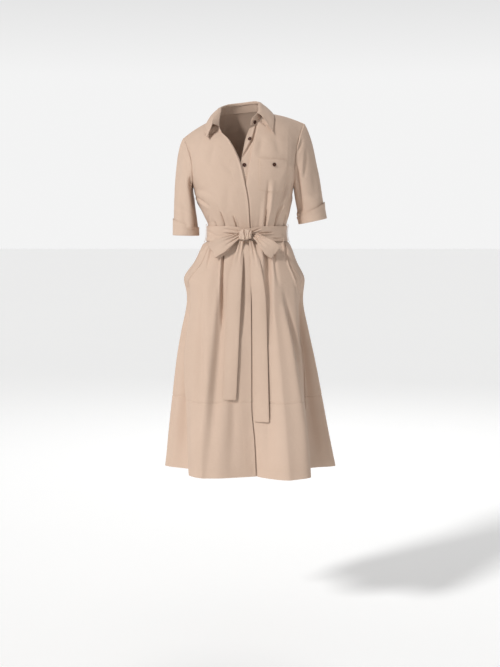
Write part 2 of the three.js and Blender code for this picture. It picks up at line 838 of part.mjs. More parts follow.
function chestPocket() {
  const surface = panelSurface(leftFront);
  const place = (u, v) => {
    const x = blend(pocket.left, pocket.right, u);
    const point = Math.abs(u - 0.5) * 12;
    const z = pocket.top + pocket.tilt * (x - pocket.left) - (pocket.drop - point) * (1 - v);
    return pocketPoint(surface, x, z);
  };
  const grid = movedOut(sample(place, 8, 6), wall + seamGap + 0.5, bodyInside);
  return piece('chest_pocket', clothWall(grid, wall, bodyInside));
}

function pocketWelts() {
  const seamAt = smooth(weltLines, 'z', 'seam');
  const mouthAt = smooth(weltLines, 'z', 'mouth');
  const [bottom, top] = [weltLines[0].z, weltLines[weltLines.length - 1].z];
  return [-1, 1].map((side) => {
    const surface = (u, v) => {
      const z = blend(bottom, top, v);
      return skirtPoint(side * blend(seamAt(z), mouthAt(z), u), z);
    };
    const across = 3;
    const lift = (point, i) => wall + 3 * seamGap + mouthLift * (i / across) ** 2;
    const grid = movedOut(sample(surface, across, 8), lift, skirtInside);
    const label = side < 0 ? 'right' : 'left';
    return piece(`pocket_welt_${label}`, clothWall(grid, wall * 0.9, skirtInside));
  });
}

function beltBand() {
  const around = 44;
  const grid = [-1, 0, 1].map((share) => (
    Array.from({ length: around }, (_, i) => {
      const angle = i * 360 / around;
      const fromFront = THREE.MathUtils.euclideanModulo(angle + 180, 360) - 180;
      const nearKnot = Math.exp(-((fromFront / 16) ** 2));
      const z = beltCentreZ + share * beltHeight / 2 * (1 - 0.3 * nearKnot);
      const radius = ringRadius(angle, z) + beltWall + 1.3;
      return polar(angle, radius, z);
    })
  ));
  return piece('belt_band', clothWall(grid, beltWall, new THREE.Vector3(21, 0, beltCentreZ), true));
}

// A soft block: a sphere pulled towards a box
function bowKnot() {
  const geometry = new THREE.SphereGeometry(1, 16, 10);
  const position = geometry.attributes.position;
  const point = new THREE.Vector3();
  const soften = (value) => Math.sign(value) * Math.abs(value) ** 0.55;
  for (let i = 0; i < position.count; i += 1) {
    point.fromBufferAttribute(position, i);
    const length = (Math.abs(point.x) ** 4 + Math.abs(point.y) ** 4 + Math.abs(point.z) ** 4) ** 0.25;
    point.divideScalar(length);
    position.setXYZ(
      i,
      knot.x + knot.halfX * point.x * (1 - 0.12 * point.z),
      knot.y + knot.halfY * soften(point.y) * 0.97,
      knot.z + knot.halfZ * point.z,
    );
  }
  return piece('bow_knot', geometry);
}

// A band that leaves the knot, turns round at its far end and comes back behind itself
function bowLoop(loop) {
  const start = new THREE.Vector3(loop.startX, 0, loop.startZ);
  const end = new THREE.Vector3(loop.endX, 0, loop.endZ);
  const axis = end.clone().sub(start);
  const length = axis.length();
  axis.normalize();
  const across = new THREE.Vector3(-axis.z, 0, axis.x);
  if (across.z < 0) across.negate();
  const surface = (turn, v) => {
    const around = turn * Math.PI;
    const out = Math.sin(around) ** 0.7;
    const frontShare = Math.cos(around);
    const width = blend(loopStartWidth, loopWidth, fade(0, 0.75, out));
    const behind = Math.max(0, -frontShare);
    const point = start.clone().addScaledVector(axis, length * out);
    point.addScaledVector(across, (v - 0.5) * width - loop.drop * behind * out);
    const open = Math.sin(Math.PI * blend(0.15, 0.8, out));
    point.y = loopBackY - 3 * out - loopBulge / 2 * open * (1 + frontShare);
    return point;
  };
  const grid = sample(surface, 18, 3);
  const middle = start.clone().lerp(end, 0.5).setY(loopBackY - loopBulge / 2);
  return piece(loop.name, clothWall(grid, bowWall, middle));
}

function frontY(x, z) {
  return skirtPoint(skirtStation(x, z), z).y;
}

function beltTail(name, rows) {
  const xAt = smooth(rows, 'z', 'x');
  const widthAt = smooth(rows, 'z', 'width');
  const levels = rows.map((row) => row.z);
  const [bottom, top] = [Math.min(...levels), Math.max(...levels)];
  const surface = (u, v) => {
    const z = blend(bottom, top, v);
    const x = xAt(z) + (u - 0.5) * widthAt(z);
    const rest = Math.min(frontY(x, z), frontY(x - 12, z), frontY(x + 12, z)) - 4;
    const hang = blend(rest, knot.y + 2, fade(-430, -375, z));
    return new THREE.Vector3(x, hang - 1.5 * Math.sin(Math.PI * u), z);
  };
  const grid = sample(surface, 4, 22);
  return piece(name, clothWall(grid, bowWall, skirtInside));
}

function beltLoops() {
  const width = 6;
  const heights = [-29, -26, -12, 12, 26, 29];
  return [-1, 1].map((side) => {
    const grid = heights.map((height) => (
      [-0.5, 0, 0.5].map((share) => {
        const z = beltCentreZ + height;
        const angle = side * 90 + share * width / 122 * 180 / Math.PI;
        const ends = Math.abs(height) > 28;
        const out = ends ? wall + 1 : beltWall + wall + 3 * seamGap + 1.4;
        return polar(angle, ringRadius(angle, z) + out, z);
      })
    ));
    const label = side < 0 ? 'right' : 'left';
    return piece(`belt_loop_${label}`, clothWall(grid, wall * 0.8, new THREE.Vector3(21, 0, beltCentreZ)));
  });
}

// A sewn-through button with a sunken middle, seated on the face of its carrier that shows
// from the front at a given x and z
function button(name, carrier, x, z) {
  const r = buttonRadius;
  const h = buttonThickness;
  const profile = [
    [0, 0], [r * 0.8, 0], [r, h * 0.35], [r, h * 0.75], [r * 0.86, h],
    [r * 0.66, h * 0.95], [r * 0.56, h * 0.7], [0, h * 0.66],
  ].map(([radius, height]) => new THREE.Vector2(radius, height));
  const mesh = piece(name, new THREE.LatheGeometry(profile, 18), horn);
  const sight = new THREE.Raycaster(new THREE.Vector3(x, -400, z), new THREE.Vector3(0, 1, 0));
  const [seat] = sight.intersectObject(carrier);
  mesh.position.copy(seat.point).addScaledVector(seat.face.normal, buttonClearance);
  mesh.quaternion.setFromUnitVectors(new THREE.Vector3(0, 1, 0), seat.face.normal);
  return mesh;
}

const group = new THREE.Group();
const band = buttonBand();
const stand = collarStand();
const patch = chestPocket();
group.add(...bodiceFronts(), bodiceBack(), band, flyPlacket());
group.add(...sleeves.flatMap(sleevePieces), stand, collarLeaf());
group.add(patch, ...skirtPanels(), ...pocketWelts());
group.add(beltBand(), bowKnot(), ...bowLoops.map(bowLoop));
group.add(beltTail('belt_tail_right', rightTail), beltTail('belt_tail_left', leftTail));
group.add(...beltLoops());
group.add(button('button_stand', stand, 44, -20));
group.add(button('button_neck_1', band, 30.5, -71));
group.add(button('button_neck_2', band, 14, -148));
group.add(button('button_pocket', patch, 102, -147));

export default group;
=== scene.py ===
# Shirt dress in its worn, hollow form. Sizes are in millimetres, and +X is the wearer's left.
import math

import bpy
import numpy as np
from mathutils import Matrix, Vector
from mathutils.bvhtree import BVHTree


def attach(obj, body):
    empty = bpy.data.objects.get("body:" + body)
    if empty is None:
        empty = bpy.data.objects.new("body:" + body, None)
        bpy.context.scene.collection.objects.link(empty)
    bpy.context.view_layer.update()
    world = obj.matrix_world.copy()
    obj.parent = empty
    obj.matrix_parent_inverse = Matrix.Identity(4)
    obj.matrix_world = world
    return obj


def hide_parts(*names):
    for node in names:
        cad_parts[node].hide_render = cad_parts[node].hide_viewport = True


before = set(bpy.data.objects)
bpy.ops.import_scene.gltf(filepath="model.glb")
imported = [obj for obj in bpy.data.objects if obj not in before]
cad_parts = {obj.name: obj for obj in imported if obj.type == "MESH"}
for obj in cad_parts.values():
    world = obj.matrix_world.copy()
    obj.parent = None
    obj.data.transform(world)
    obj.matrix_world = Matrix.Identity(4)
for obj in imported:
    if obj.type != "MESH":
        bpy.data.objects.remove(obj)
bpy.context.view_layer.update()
mm = 0.001


# Small maths

def columns(names, *lines):
    return dict(zip(names.split(), np.array(lines, float).T))


def blend(a, b, t):
    return a + (b - a) * t


def fade(low, high, x):
    t = np.clip((x - low) / (high - low), 0, 1)
    return t * t * (3 - 2 * t)


def hermite(a, slopeA, b, slopeB, t):
    return (a * (2 * t**3 - 3 * t**2 + 1) + slopeA * (t**3 - 2 * t**2 + t)
            + b * (3 * t**2 - 2 * t**3) + slopeB * (t**3 - t**2))


def smooth(table, key, column):
    # a curve through one column of a table, with no overshoot between its lines
    order = np.argsort(table[key])
    xs, ys = table[key][order], table[column][order]
    steps = np.diff(ys) / np.diff(xs)
    product = steps[:-1] * steps[1:]
    both = np.where(product > 0, steps[:-1] + steps[1:], 1)
    inner = np.where(product > 0, 2 * product / both, 0)
    slopes = np.concatenate([steps[:1], inner, steps[-1:]])

    def curve(x):
        x = np.clip(x, xs[0], xs[-1])
        i = np.clip(np.searchsorted(xs, x) - 1, 0, len(xs) - 2)
        width = xs[i + 1] - xs[i]
        t = (x - xs[i]) / width
        return hermite(ys[i], slopes[i] * width, ys[i + 1], slopes[i + 1] * width, t)
    return curve


def points(x, y, z):
    return np.stack(np.broadcast_arrays(x, y, z), -1).astype(float)


def curve3(table, names="x y z"):
    fx, fy, fz = [smooth(table, "t", name) for name in names.split()]
    return lambda t: points(fx(t), fy(t), fz(t))


def unit(vectors):
    return vectors / np.maximum(np.linalg.norm(vectors, axis=-1, keepdims=True), 1e-9)


def grid2(across, up):
    # shares across and up, for a grid of that many cells
    return np.meshgrid(np.linspace(0, 1, across + 1), np.linspace(0, 1, up + 1))


# The dress's levels and cloth

level = {
    "shoulder": -41, "armpit": -212, "waist": -349, "hip": -555, "hemSeam": -851, "hem": -1073,
}
cloth = {
    "thick": 1.2, "wall": 1.5, "layer": 1.8, "cuff": 2.2, "leaf": 1.8, "belt": 2.0, "bow": 1.4,
}
body = {
    "tilt": 0.117, "tiltCentre": 11, "power": 2.25,
    "rings": columns(
        "z centre side front back",
        [-1073, 30, 258, 204, 216], [-881, 23, 231, 180, 190], [-748, 18, 212, 163, 170],
        [-647, 16, 193, 150, 155], [-555, 15, 177, 136, 142], [-495, 16, 176, 128, 136],
        [-433, 18, 153, 115, 120], [-386, 20, 133, 102, 101], [-372, 21, 122, 95, 91],
        [-349, 21, 119, 91, 87], [-326, 22, 120, 94, 89], [-296, 20, 130, 104, 94],
        [-262, 16, 141, 114, 101], [-229, 12, 149, 121, 106], [-212, 12, 152, 123, 108]),
    "flyEdge": columns(
        "z x", [-1073, 48], [-970, 43], [-865, 34.5], [-650, 34], [-485, 33], [-349, 30.5],
        [-333, 29.3], [-264, 25.3], [-216, 17.7], [-183, 10]),
    "buttonLine": columns(
        "z x", [-349, 18], [-264, 13], [-212, 8], [-148, 14], [-71, 30.5], [-20, 46]),
}
centreAt = smooth(body["rings"], "z", "centre")
sideAt = smooth(body["rings"], "z", "side")
frontAt = smooth(body["rings"], "z", "front")
backAt = smooth(body["rings"], "z", "back")
flyEdgeAt = smooth(body["flyEdge"], "z", "x")
buttonLineAt = smooth(body["buttonLine"], "z", "x")


def ringRadius(angle, z):
    sine = np.abs(np.sin(np.radians(angle)))
    cosine = np.cos(np.radians(angle))
    depth = np.where(cosine > 0, frontAt(z), backAt(z))
    power = body["power"]
    total = (sine / sideAt(z))**power + (np.abs(cosine) / depth)**power
    return total**(-1 / power)


def polar(angle, radius, z):
    x = centreAt(z) + radius * np.sin(np.radians(angle))
    return points(x, -radius * np.cos(np.radians(angle)), z)


def tilted(point):
    lean = body["tilt"] * fade(level["waist"], level["shoulder"], point[..., 2])
    out = point.copy()
    out[..., 2] += lean * (point[..., 0] - body["tiltCentre"])
    return out


def frontAngle(x, z):
    angle = np.zeros(np.broadcast(x, z).shape)
    for _ in range(12):
        sine = (x - centreAt(z)) / ringRadius(angle, z)
        angle = np.degrees(np.arcsin(np.clip(sine, -1, 1)))
    return angle


# Cloth as grids of points: normals, relief and shells

def normalsOf(grid, inside, closed=False):
    if closed:
        across = np.roll(grid, -1, 1) - np.roll(grid, 1, 1)
    else:
        across = np.gradient(grid, axis=1)
    up = np.gradient(grid, axis=0)
    normals = unit(np.cross(across, up))
    facing = np.sum(normals * unit(grid - np.array(inside, float)))
    return normals * np.sign(facing)


def moved(grid, distance, inside, closed=False):
    distance = np.broadcast_to(distance, grid.shape[:2])
    return grid + normalsOf(grid, inside, closed) * distance[..., None]


def rounded(path, times=2):
    # a path with its corners cut, as cloth never creases along a sharp bend
    path = np.array(path, float)
    for _ in range(times):
        if len(path) > 2:
            a, b = path[:-1], path[1:]
            cut = np.stack([a * 0.75 + b * 0.25, a * 0.25 + b * 0.75], 1).reshape(-1, 2)
            path = np.concatenate([path[:1], cut[1:-1], path[-1:]])
    return path


def creased(flat, folds, gain=1):
    # How far each point sinks or rises. flat holds the two coordinates of the view from
    # which the folds were placed. A fold's depth is a trough, its lift a ridge on the right
    # of its path, or on the left where it is negative. Two widths are those at its two ends.
    total = np.zeros(flat.shape[:2])
    for deep, widths, lift, ends, path in folds:
        path = rounded(path)
        lengths = np.linalg.norm(np.diff(path, axis=0), axis=1)
        starts = np.concatenate([[0], np.cumsum(lengths)])
        best = np.full(flat.shape[:2], 1e9)
        signed = np.zeros(flat.shape[:2])
        along = np.zeros(flat.shape[:2])
        for a, b, length, start in zip(path[:-1], path[1:], lengths, starts):
            direction = (b - a) / length
            offset = flat - a
            run = np.clip(offset @ direction, 0, length)
            away = offset - run[..., None] * direction
            distance = np.linalg.norm(away, axis=-1)
            closer = distance < best
            side = np.sign(offset[..., 0] * direction[1] - offset[..., 1] * direction[0])
            best = np.where(closer, distance, best)
            signed = np.where(closer, distance * side, signed)
            along = np.where(closer, (start + run) / starts[-1], along)
        if ends == "far":
            strength = (1 - along)**0.5
        elif ends == "near":
            strength = fade(0, 0.25, along)
        elif ends == "both":
            strength = np.sin(math.pi * np.clip(along, 0, 1))**0.7
        else:
            strength = np.ones_like(along)
        wide = np.interp(along, [0, 1], widths if isinstance(widths, tuple) else (widths, widths))
        trough = np.exp(-(best / wide)**2)
        beside = np.exp(-((signed * np.sign(lift) - 1.7 * wide) / (1.4 * wide))**2)
        total += strength * deep * (abs(lift) * beside - trough)
    return total * gain


def ripple(grid, size, seed):
    # slow, uneven swell of the cloth
    random = np.random.default_rng(seed)
    total = np.zeros(grid.shape[:2])
    for _ in range(7):
        direction = unit(random.normal(size=3))
        phase = random.uniform(0, 2 * math.pi)
        total += np.sin(grid @ direction * 2 * math.pi / (size * random.uniform(0.7, 1.5)) + phase)
    return total / 7


def arcs(grid):
    # distance of each point from the left edge and from the bottom edge, along the cloth
    across = np.linalg.norm(np.diff(grid, axis=1), axis=-1)
    up = np.linalg.norm(np.diff(grid, axis=0), axis=-1)
    fromLeft = np.concatenate([np.zeros((len(grid), 1)), np.cumsum(across, 1)], 1)
    fromBottom = np.concatenate([np.zeros((1, grid.shape[1])), np.cumsum(up, 0)], 0)
    return fromLeft, fromBottom


def fromEdge(grid, side):
    fromLeft, fromBottom = arcs(grid)
    return {
        "left": fromLeft, "right": fromLeft[:, -1:] - fromLeft,
        "bottom": fromBottom, "top": fromBottom[-1:] - fromBottom,
    }[side]


def seamDip(grid, sides, deep=0.9, wide=2.6):
    return -sum(deep * np.exp(-(fromEdge(grid, side) / wide)**2) for side in sides.split())


def hemRise(grid, sides, width, rise=0.5):
    return sum(rise * (1 - fade(width - 1.5, width + 1.5, fromEdge(grid, side)))
               for side in sides.split())


def along(grid, side, distance, inside, closed=False):
    # points and normals of a line that runs a given distance inside an edge
    away = fromEdge(grid, side)
    normals = normalsOf(grid, inside, closed)
    turned = side in ("left", "right")
    if turned:
        away, grid, normals = away.T, grid.transpose(1, 0, 2), normals.transpose(1, 0, 2)
    if side in ("right", "top"):
        away, grid, normals = away[::-1], grid[::-1], normals[::-1]
    low = np.clip((away < distance).sum(0) - 1, 0, len(away) - 2)
    pick = np.arange(away.shape[1])
    a, b = away[low, pick], away[low + 1, pick]
    share = np.clip((distance - a) / np.maximum(b - a, 1e-6), 0, 1)[:, None]
    line = grid[low, pick] * (1 - share) + grid[low + 1, pick] * share
    return line, unit(normals[low, pick] * (1 - share) + normals[low + 1, pick] * share)


def shellFaces(rows, count, closed):
    under = rows * count
    spans = count if closed else count - 1
    j, i = np.meshgrid(np.arange(rows - 1), np.arange(spans), indexing="ij")
    a = (j * count + i).ravel()
    b = (j * count + (i + 1) % count).ravel()
    faces = [np.stack([a, b, b + count, a + count], 1),
             np.stack([a, a + count, b + count, b], 1) + under]
    i = np.arange(spans)
    following = (i + 1) % count
    top = (rows - 1) * count
    faces.append(np.stack([i, under + i, under + following, following], 1))
    faces.append(np.stack([top + i, top + following, under + top + following, under + top + i], 1))
    if not closed:
        a = np.arange(rows - 1) * count
        b = a + count - 1
        faces.append(np.stack([a, a + count, under + a + count, under + a], 1))
        faces.append(np.stack([b, under + b, under + b + count, b + count], 1))
    return np.concatenate(faces)


def newMesh(name, verts, faces, material, uvs=None, sharp=60):
    mesh = bpy.data.meshes.new(name)
    faces = faces.tolist() if isinstance(faces, np.ndarray) else faces
    mesh.from_pydata((np.asarray(verts) * mm).tolist(), [], faces)
    if uvs is not None:
        layer = mesh.uv_layers.new(name="UVMap")
        index = np.empty(len(mesh.loops), np.int32)
        mesh.loops.foreach_get("vertex_index", index)
        layer.data.foreach_set("uv", (uvs[index] * mm).astype(np.float32).ravel())
    mesh.shade_smooth()
    mesh.set_sharp_from_angle(angle=math.radians(sharp))
    mesh.materials.append(material)
    thing = bpy.data.objects.new(name, mesh)
    bpy.context.scene.collection.objects.link(thing)
    return thing


def ridesAs(thing, slot, *nodes):
    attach(thing, "root")
    if nodes:
        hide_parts(*nodes)
    return thing


def clothPiece(node, grid, inside, held, thick=None, closed=False, material=None):
    # a thin shell under a grid of outer points, which stands for the CAD node
    thick = cloth["thick"] if thick is None else thick
    normals = normalsOf(grid, inside, closed)
    inner = grid - normals * np.broadcast_to(thick, grid.shape[:2])[..., None]
    rows, count = grid.shape[:2]
    faces = shellFaces(rows, count, closed)
    measured = np.concatenate([grid, grid[:, :1]], 1) if closed else grid
    fromLeft, fromBottom = arcs(measured)
    uv = np.stack([fromLeft - fromLeft[:, -1:] / 2, fromBottom], -1)[:, :count].reshape(-1, 2)
    a, b, c = grid[0, 0], grid[0, 1], grid[1, 0]
    if np.dot(np.cross(b - a, c - a), normals[0, 0]) < 0:
        faces = faces[:, ::-1]
    verts = np.concatenate([grid.reshape(-1, 3), inner.reshape(-1, 3)])
    thing = newMesh(node + "_cloth", verts, faces, material or poplin, np.concatenate([uv, uv]))
    ridesAs(thing, "poplin", node)
    if held == "sewn":
        return thing  # a narrow strip, built like the other pieces; a strip too narrow to count as a sheet
    return thing


def facing(grid):
    # a tree that finds a grid's cloth from any side
    rows, count = grid.shape[:2]
    j, i = np.meshgrid(np.arange(rows - 1), np.arange(count - 1), indexing="ij")
    a = (j * count + i).ravel()
    faces = np.stack([a, a + 1, a + 1 + count, a + count], 1)
    return BVHTree.FromPolygons(grid.reshape(-1, 3).tolist(), faces.tolist())


def seenFromFront(tree, x, z):
    hit, normal, _, _ = tree.ray_cast(Vector((x, -600, z)), Vector((0, 1, 0)))
    normal = np.array(normal)
    return np.array(hit), normal * -np.sign(normal[1])


# Materials

def tone(red, green, blue):
    # a colour as a screen shows it, turned into the light that it stands for
    def one(value):
        share = value / 255
        return share / 12.92 if share <= 0.04045 else ((share + 0.055) / 1.055)**2.4
    return (one(red), one(green), one(blue), 1)


class Wire:
    # a socket of a shader tree, on which ordinary arithmetic makes Math nodes
    def __init__(self, tree, socket=None):
        self.tree = tree
        self.socket = socket

    def node(self, kind, settings=None, inputs=None, output=0):
        made = self.tree.nodes.new(kind)
        for name, value in (settings or {}).items():
            if name == "stops":
                for stop, (place, colour) in zip(made.color_ramp.elements, value):
                    stop.position = place
                    stop.color = colour
            else:
                setattr(made, name, value)
        for name, value in (inputs or {}).items():
            if isinstance(value, Wire):
                self.tree.links.new(value.socket, made.inputs[name])
            else:
                made.inputs[name].default_value = value
        return Wire(self.tree, None if output is None else made.outputs[output])

    def maths(self, operation, first, second):
        return self.node("ShaderNodeMath", {"operation": operation}, {0: first, 1: second})

    def __add__(self, other):
        return self.maths("ADD", self, other)

    def __radd__(self, other):
        return self.maths("ADD", other, self)

    def __sub__(self, other):
        return self.maths("SUBTRACT", self, other)

    def __rsub__(self, other):
        return self.maths("SUBTRACT", other, self)

    def __mul__(self, other):
        return self.maths("MULTIPLY", self, other)

    def __rmul__(self, other):
        return self.maths("MULTIPLY", other, self)


def newMaterial(name):
    material = bpy.data.materials.new(name)
    material.use_nodes = True
    tree = material.node_tree
    tree.nodes.clear()
    return material, Wire(tree)


def finishMaterial(wire, inputs):
    shader = wire.node("ShaderNodeBsdfPrincipled", None, inputs)
    wire.node("ShaderNodeOutputMaterial", None, {"Surface": shader}, None)
    return shader


fabric = {
    "light": tone(205, 181, 163), "dark": tone(193, 168, 149), "roughness": 0.86,
    "yarnsPerMetre": 1500, "yarnBump": 0.10, "crumple": 0.22, "crumplesPerMetre": 26,
}


def poplinMaterial(name, light, dark):
    material, wire = newMaterial(name)
    place = wire.node("ShaderNodeTexCoord", None, None, "UV")
    solid = wire.node("ShaderNodeTexCoord", None, None, "Object")

    def yarns(axis):
        return wire.node("ShaderNodeTexWave", {"bands_direction": axis}, {
            "Vector": place, "Scale": fabric["yarnsPerMetre"] / 20,
            "Distortion": 0.6, "Detail": 1.0}, "Fac")
    weave = yarns("X") * 0.5 + yarns("Y") * 0.5
    slub = wire.node("ShaderNodeTexNoise", None, {"Vector": solid, "Scale": 160.0, "Detail": 3.0})
    patch = wire.node("ShaderNodeTexNoise", None, {"Vector": solid, "Scale": 9.0, "Detail": 2.0})
    crumple = wire.node("ShaderNodeTexNoise", None, {
        "Vector": solid, "Scale": fabric["crumplesPerMetre"], "Detail": 4.0, "Distortion": 0.6})
    mask = patch * 0.6 + slub * 0.25 + weave * 0.15
    colour = wire.node("ShaderNodeMix", {"data_type": "RGBA"}, {0: mask, 6: dark, 7: light}, 2)
    soft = wire.node("ShaderNodeBump", None, {
        "Height": crumple, "Strength": fabric["crumple"], "Distance": 0.006})
    fine = wire.node("ShaderNodeBump", None, {
        "Height": weave, "Strength": fabric["yarnBump"], "Distance": 0.0003, "Normal": soft})
    rough = slub * 0.12 + (fabric["roughness"] - 0.06)
    finishMaterial(wire, {
        "Base Color": colour, "Roughness": rough, "Normal": fine,
        "Sheen Weight": 0.06, "Sheen Roughness": 0.5, "Specular IOR Level": 0.25})
    return material


buttonLook = {"light": tone(84, 46, 32), "dark": tone(36, 18, 12), "roughness": 0.38}


def buttonMaterial():
    material, wire = newMaterial("buttonBrown")
    solid = wire.node("ShaderNodeTexCoord", None, None, "Object")
    cloud = wire.node("ShaderNodeTexNoise", None, {
        "Vector": solid, "Scale": 260.0, "Detail": 4.0, "Distortion": 1.2})
    colour = wire.node("ShaderNodeMix", {"data_type": "RGBA"}, {
        0: cloud, 6: buttonLook["dark"], 7: buttonLook["light"]}, 2)
    grain = wire.node("ShaderNodeBump", None, {"Height": cloud, "Strength": 0.15, "Distance": 0.0003})
    finishMaterial(wire, {
        "Base Color": colour, "Roughness": cloud * 0.15 + buttonLook["roughness"],
        "Normal": grain, "Specular IOR Level": 0.3})
    return material


def threadMaterial(name, colour):
    material, wire = newMaterial(name)
    solid = wire.node("ShaderNodeTexCoord", None, None, "Object")
    twist = wire.node("ShaderNodeTexNoise", None, {"Vector": solid, "Scale": 900.0})
    shade = wire.node("ShaderNodeMix", {"data_type": "RGBA"}, {
        0: twist, 6: tuple(c * 0.86 for c in colour[:3]) + (1,), 7: colour}, 2)
    bump = wire.node("ShaderNodeBump", None, {"Height": twist, "Strength": 0.3, "Distance": 0.0002})
    finishMaterial(wire, {"Base Color": shade, "Roughness": twist * 0.2 + 0.55, "Normal": bump})
    return material


poplin = poplinMaterial("poplin", fabric["light"], fabric["dark"])
buttonBrown = buttonMaterial()
seamThread = threadMaterial("seamThread", tone(206, 176, 148))
buttonThread = threadMaterial("buttonThread", tone(120, 84, 62))
print("materials made")


# Camera, light and floor

view = {"x": 30.5, "y": -4000, "z": -280, "pitch": 5.412, "lens": 70.47}
eye = bpy.data.objects.new("view", bpy.data.cameras.new("view"))
bpy.context.scene.collection.objects.link(eye)
eye.location = Vector((view["x"], view["y"], view["z"])) * mm
eye.rotation_euler = (math.radians(90 - view["pitch"]), 0, 0)
eye.data.lens = view["lens"]
eye.data.clip_end = 200
bpy.context.scene.camera = eye


def softLight(name, place, target, size, power):
    lamp = bpy.data.lights.new(name, "AREA")
    lamp.shape = "DISK"
    lamp.size = size
    lamp.energy = power
    thing = bpy.data.objects.new(name, lamp)
    bpy.context.scene.collection.objects.link(thing)
    thing.location = place
    thing.rotation_euler = (Vector(target) - Vector(place)).to_track_quat("-Z", "Y").to_euler()


def windowLight(direction, strength, spread):
    # broad daylight from one side, the same all over the floor
    lamp = bpy.data.lights.new("windowLight", "SUN")
    lamp.energy = strength
    lamp.angle = math.radians(spread)
    thing = bpy.data.objects.new("windowLight", lamp)
    bpy.context.scene.collection.objects.link(thing)
    thing.rotation_euler = Vector(direction).to_track_quat("-Z", "Y").to_euler()


windowLight((2.6, 2.9, -2.6), 2.15, 8)
softLight("backLight", (0.6, 3.6, 2.0), (0, 0, -0.4), 2.4, 45)


def paleStudio(horizon, ceiling):
    # white walls all round that darken towards the ceiling
    world = bpy.data.worlds.new("paleStudio")
    world.use_nodes = True
    tree = world.node_tree
    tree.nodes.clear()
    sky = Wire(tree)
    place = sky.node("ShaderNodeTexCoord", None, None, "Generated")
    height = sky.node("ShaderNodeSeparateXYZ", None, {"Vector": place}, "Z")
    colour = sky.node("ShaderNodeValToRGB", {"stops": [
        (0.1, (horizon, horizon, horizon, 1)), (0.4, (ceiling, ceiling, ceiling, 1))]},
        {"Fac": height}, "Color")
    light = sky.node("ShaderNodeBackground", None, {"Color": colour, "Strength": 1.0})
    sky.node("ShaderNodeOutputWorld", None, {"Surface": light}, None)
    bpy.context.scene.world = world


paleStudio(0.9, 0.28)
bpy.context.scene.view_settings.view_transform = "Standard"


def floor():
    material, wire = newMaterial("paleFloor")
    solid = wire.node("ShaderNodeTexCoord", None, None, "Object")
    cloud = wire.node("ShaderNodeTexNoise", None, {"Vector": solid, "Scale": 0.6})
    colour = wire.node("ShaderNodeMix", {"data_type": "RGBA"}, {
        0: cloud, 6: (0.93, 0.93, 0.925, 1), 7: (0.95, 0.95, 0.945, 1)}, 2)
    finishMaterial(wire, {"Base Color": colour, "Roughness": 0.9,
                          "Emission Color": (1, 1, 1, 1), "Emission Strength": 0.18})
    reach, down = 40000, -1586
    corners = [[-reach, -reach, down], [reach, -reach, down],
               [reach, reach, down], [-reach, reach, down]]
    newMesh("floor", corners, [[0, 1, 2, 3]], material)


floor()
print("camera, light and floor made")


# The bodice: rings below the armpit, and columns that bend over the shoulder above it

bodice = {
    "across": 150, "up": 112, "lowerShare": 0.4, "corner": 0.625, "swell": 1.2, "crease": 2.3,
    "tucks": columns(
        "angle deep height lean",
        [-56, 3, 40, 0], [-40, 4, 85, -10], [-17, 3, 50, -7], [12, 3.5, 110, 6],
        [36, 3.5, 60, 0], [52, 4, 150, 9], [76, 3, 45, 2], [-155, 3, 80, 3], [-128, 3, 70, 3],
        [-104, 2.5, 50, 0], [155, 3, 80, -3], [128, 3, 70, -3], [104, 2.5, 50, 0]),
    "tuckHalfWidth": 9,
    "neckline": columns(
        "t x y z", [0, -54, -79, -52], [0.14, -67, -46, -23], [0.28, -70, -3, -4],
        [0.4, -47, 42, 9], [0.5, 1, 60, 15], [0.6, 51, 42, 19], [0.72, 70, -3, 13],
        [0.86, 64, -48, -6], [1, 33, -78, -30]),
    "flyGap": 1.0, "flyReach": 5.5, "openValley": 7.0, "neckRight": 0.28, "neckLeft": 0.72, "leftFrontNeck": 0.93,
    "rightOpening": columns(
        "t x y z", [0, 16.9, -122.4, -212], [0.22, 3, -119.5, -152], [0.38, -14, -112, -109],
        [0.52, -35, -98, -72], [0.625, -54, -79, -52]),
    "leftOpening": columns(
        "t x y z", [0, 12.9, -122.8, -212], [0.2, 24, -119.3, -155], [0.36, 31, -112, -112],
        [0.5, 41, -98, -68], [0.625, 50.5, -64, -17.5]),
    "bandEdge": columns(
        "t x y z", [0, -5, -123, -212], [0.2, 2, -120, -153], [0.36, 9, -113, -112],
        [0.5, 17.5, -100, -68], [0.625, 31, -80, -34]),
    "bandHalfWidth": 13,
    "armholeFront": columns(
        "t half y z", [0, 152, 0, -212], [0.16, 152, -25, -203], [0.32, 152, -44, -178],
        [0.52, 155, -52, -138], [0.76, 166, -36, -87], [1, 182, 5, -41]),
    "armholeBack": columns(
        "t half y z", [0, 152, 0, -212], [0.16, 152, 28, -203], [0.32, 153, 51, -176],
        [0.52, 156, 63, -136], [0.76, 168, 47, -85], [1, 182, 5, -41]),
    "armholeCentre": 12,
}
bodyInside = (11, 0, -260)
necklineAt = curve3(bodice["neckline"])
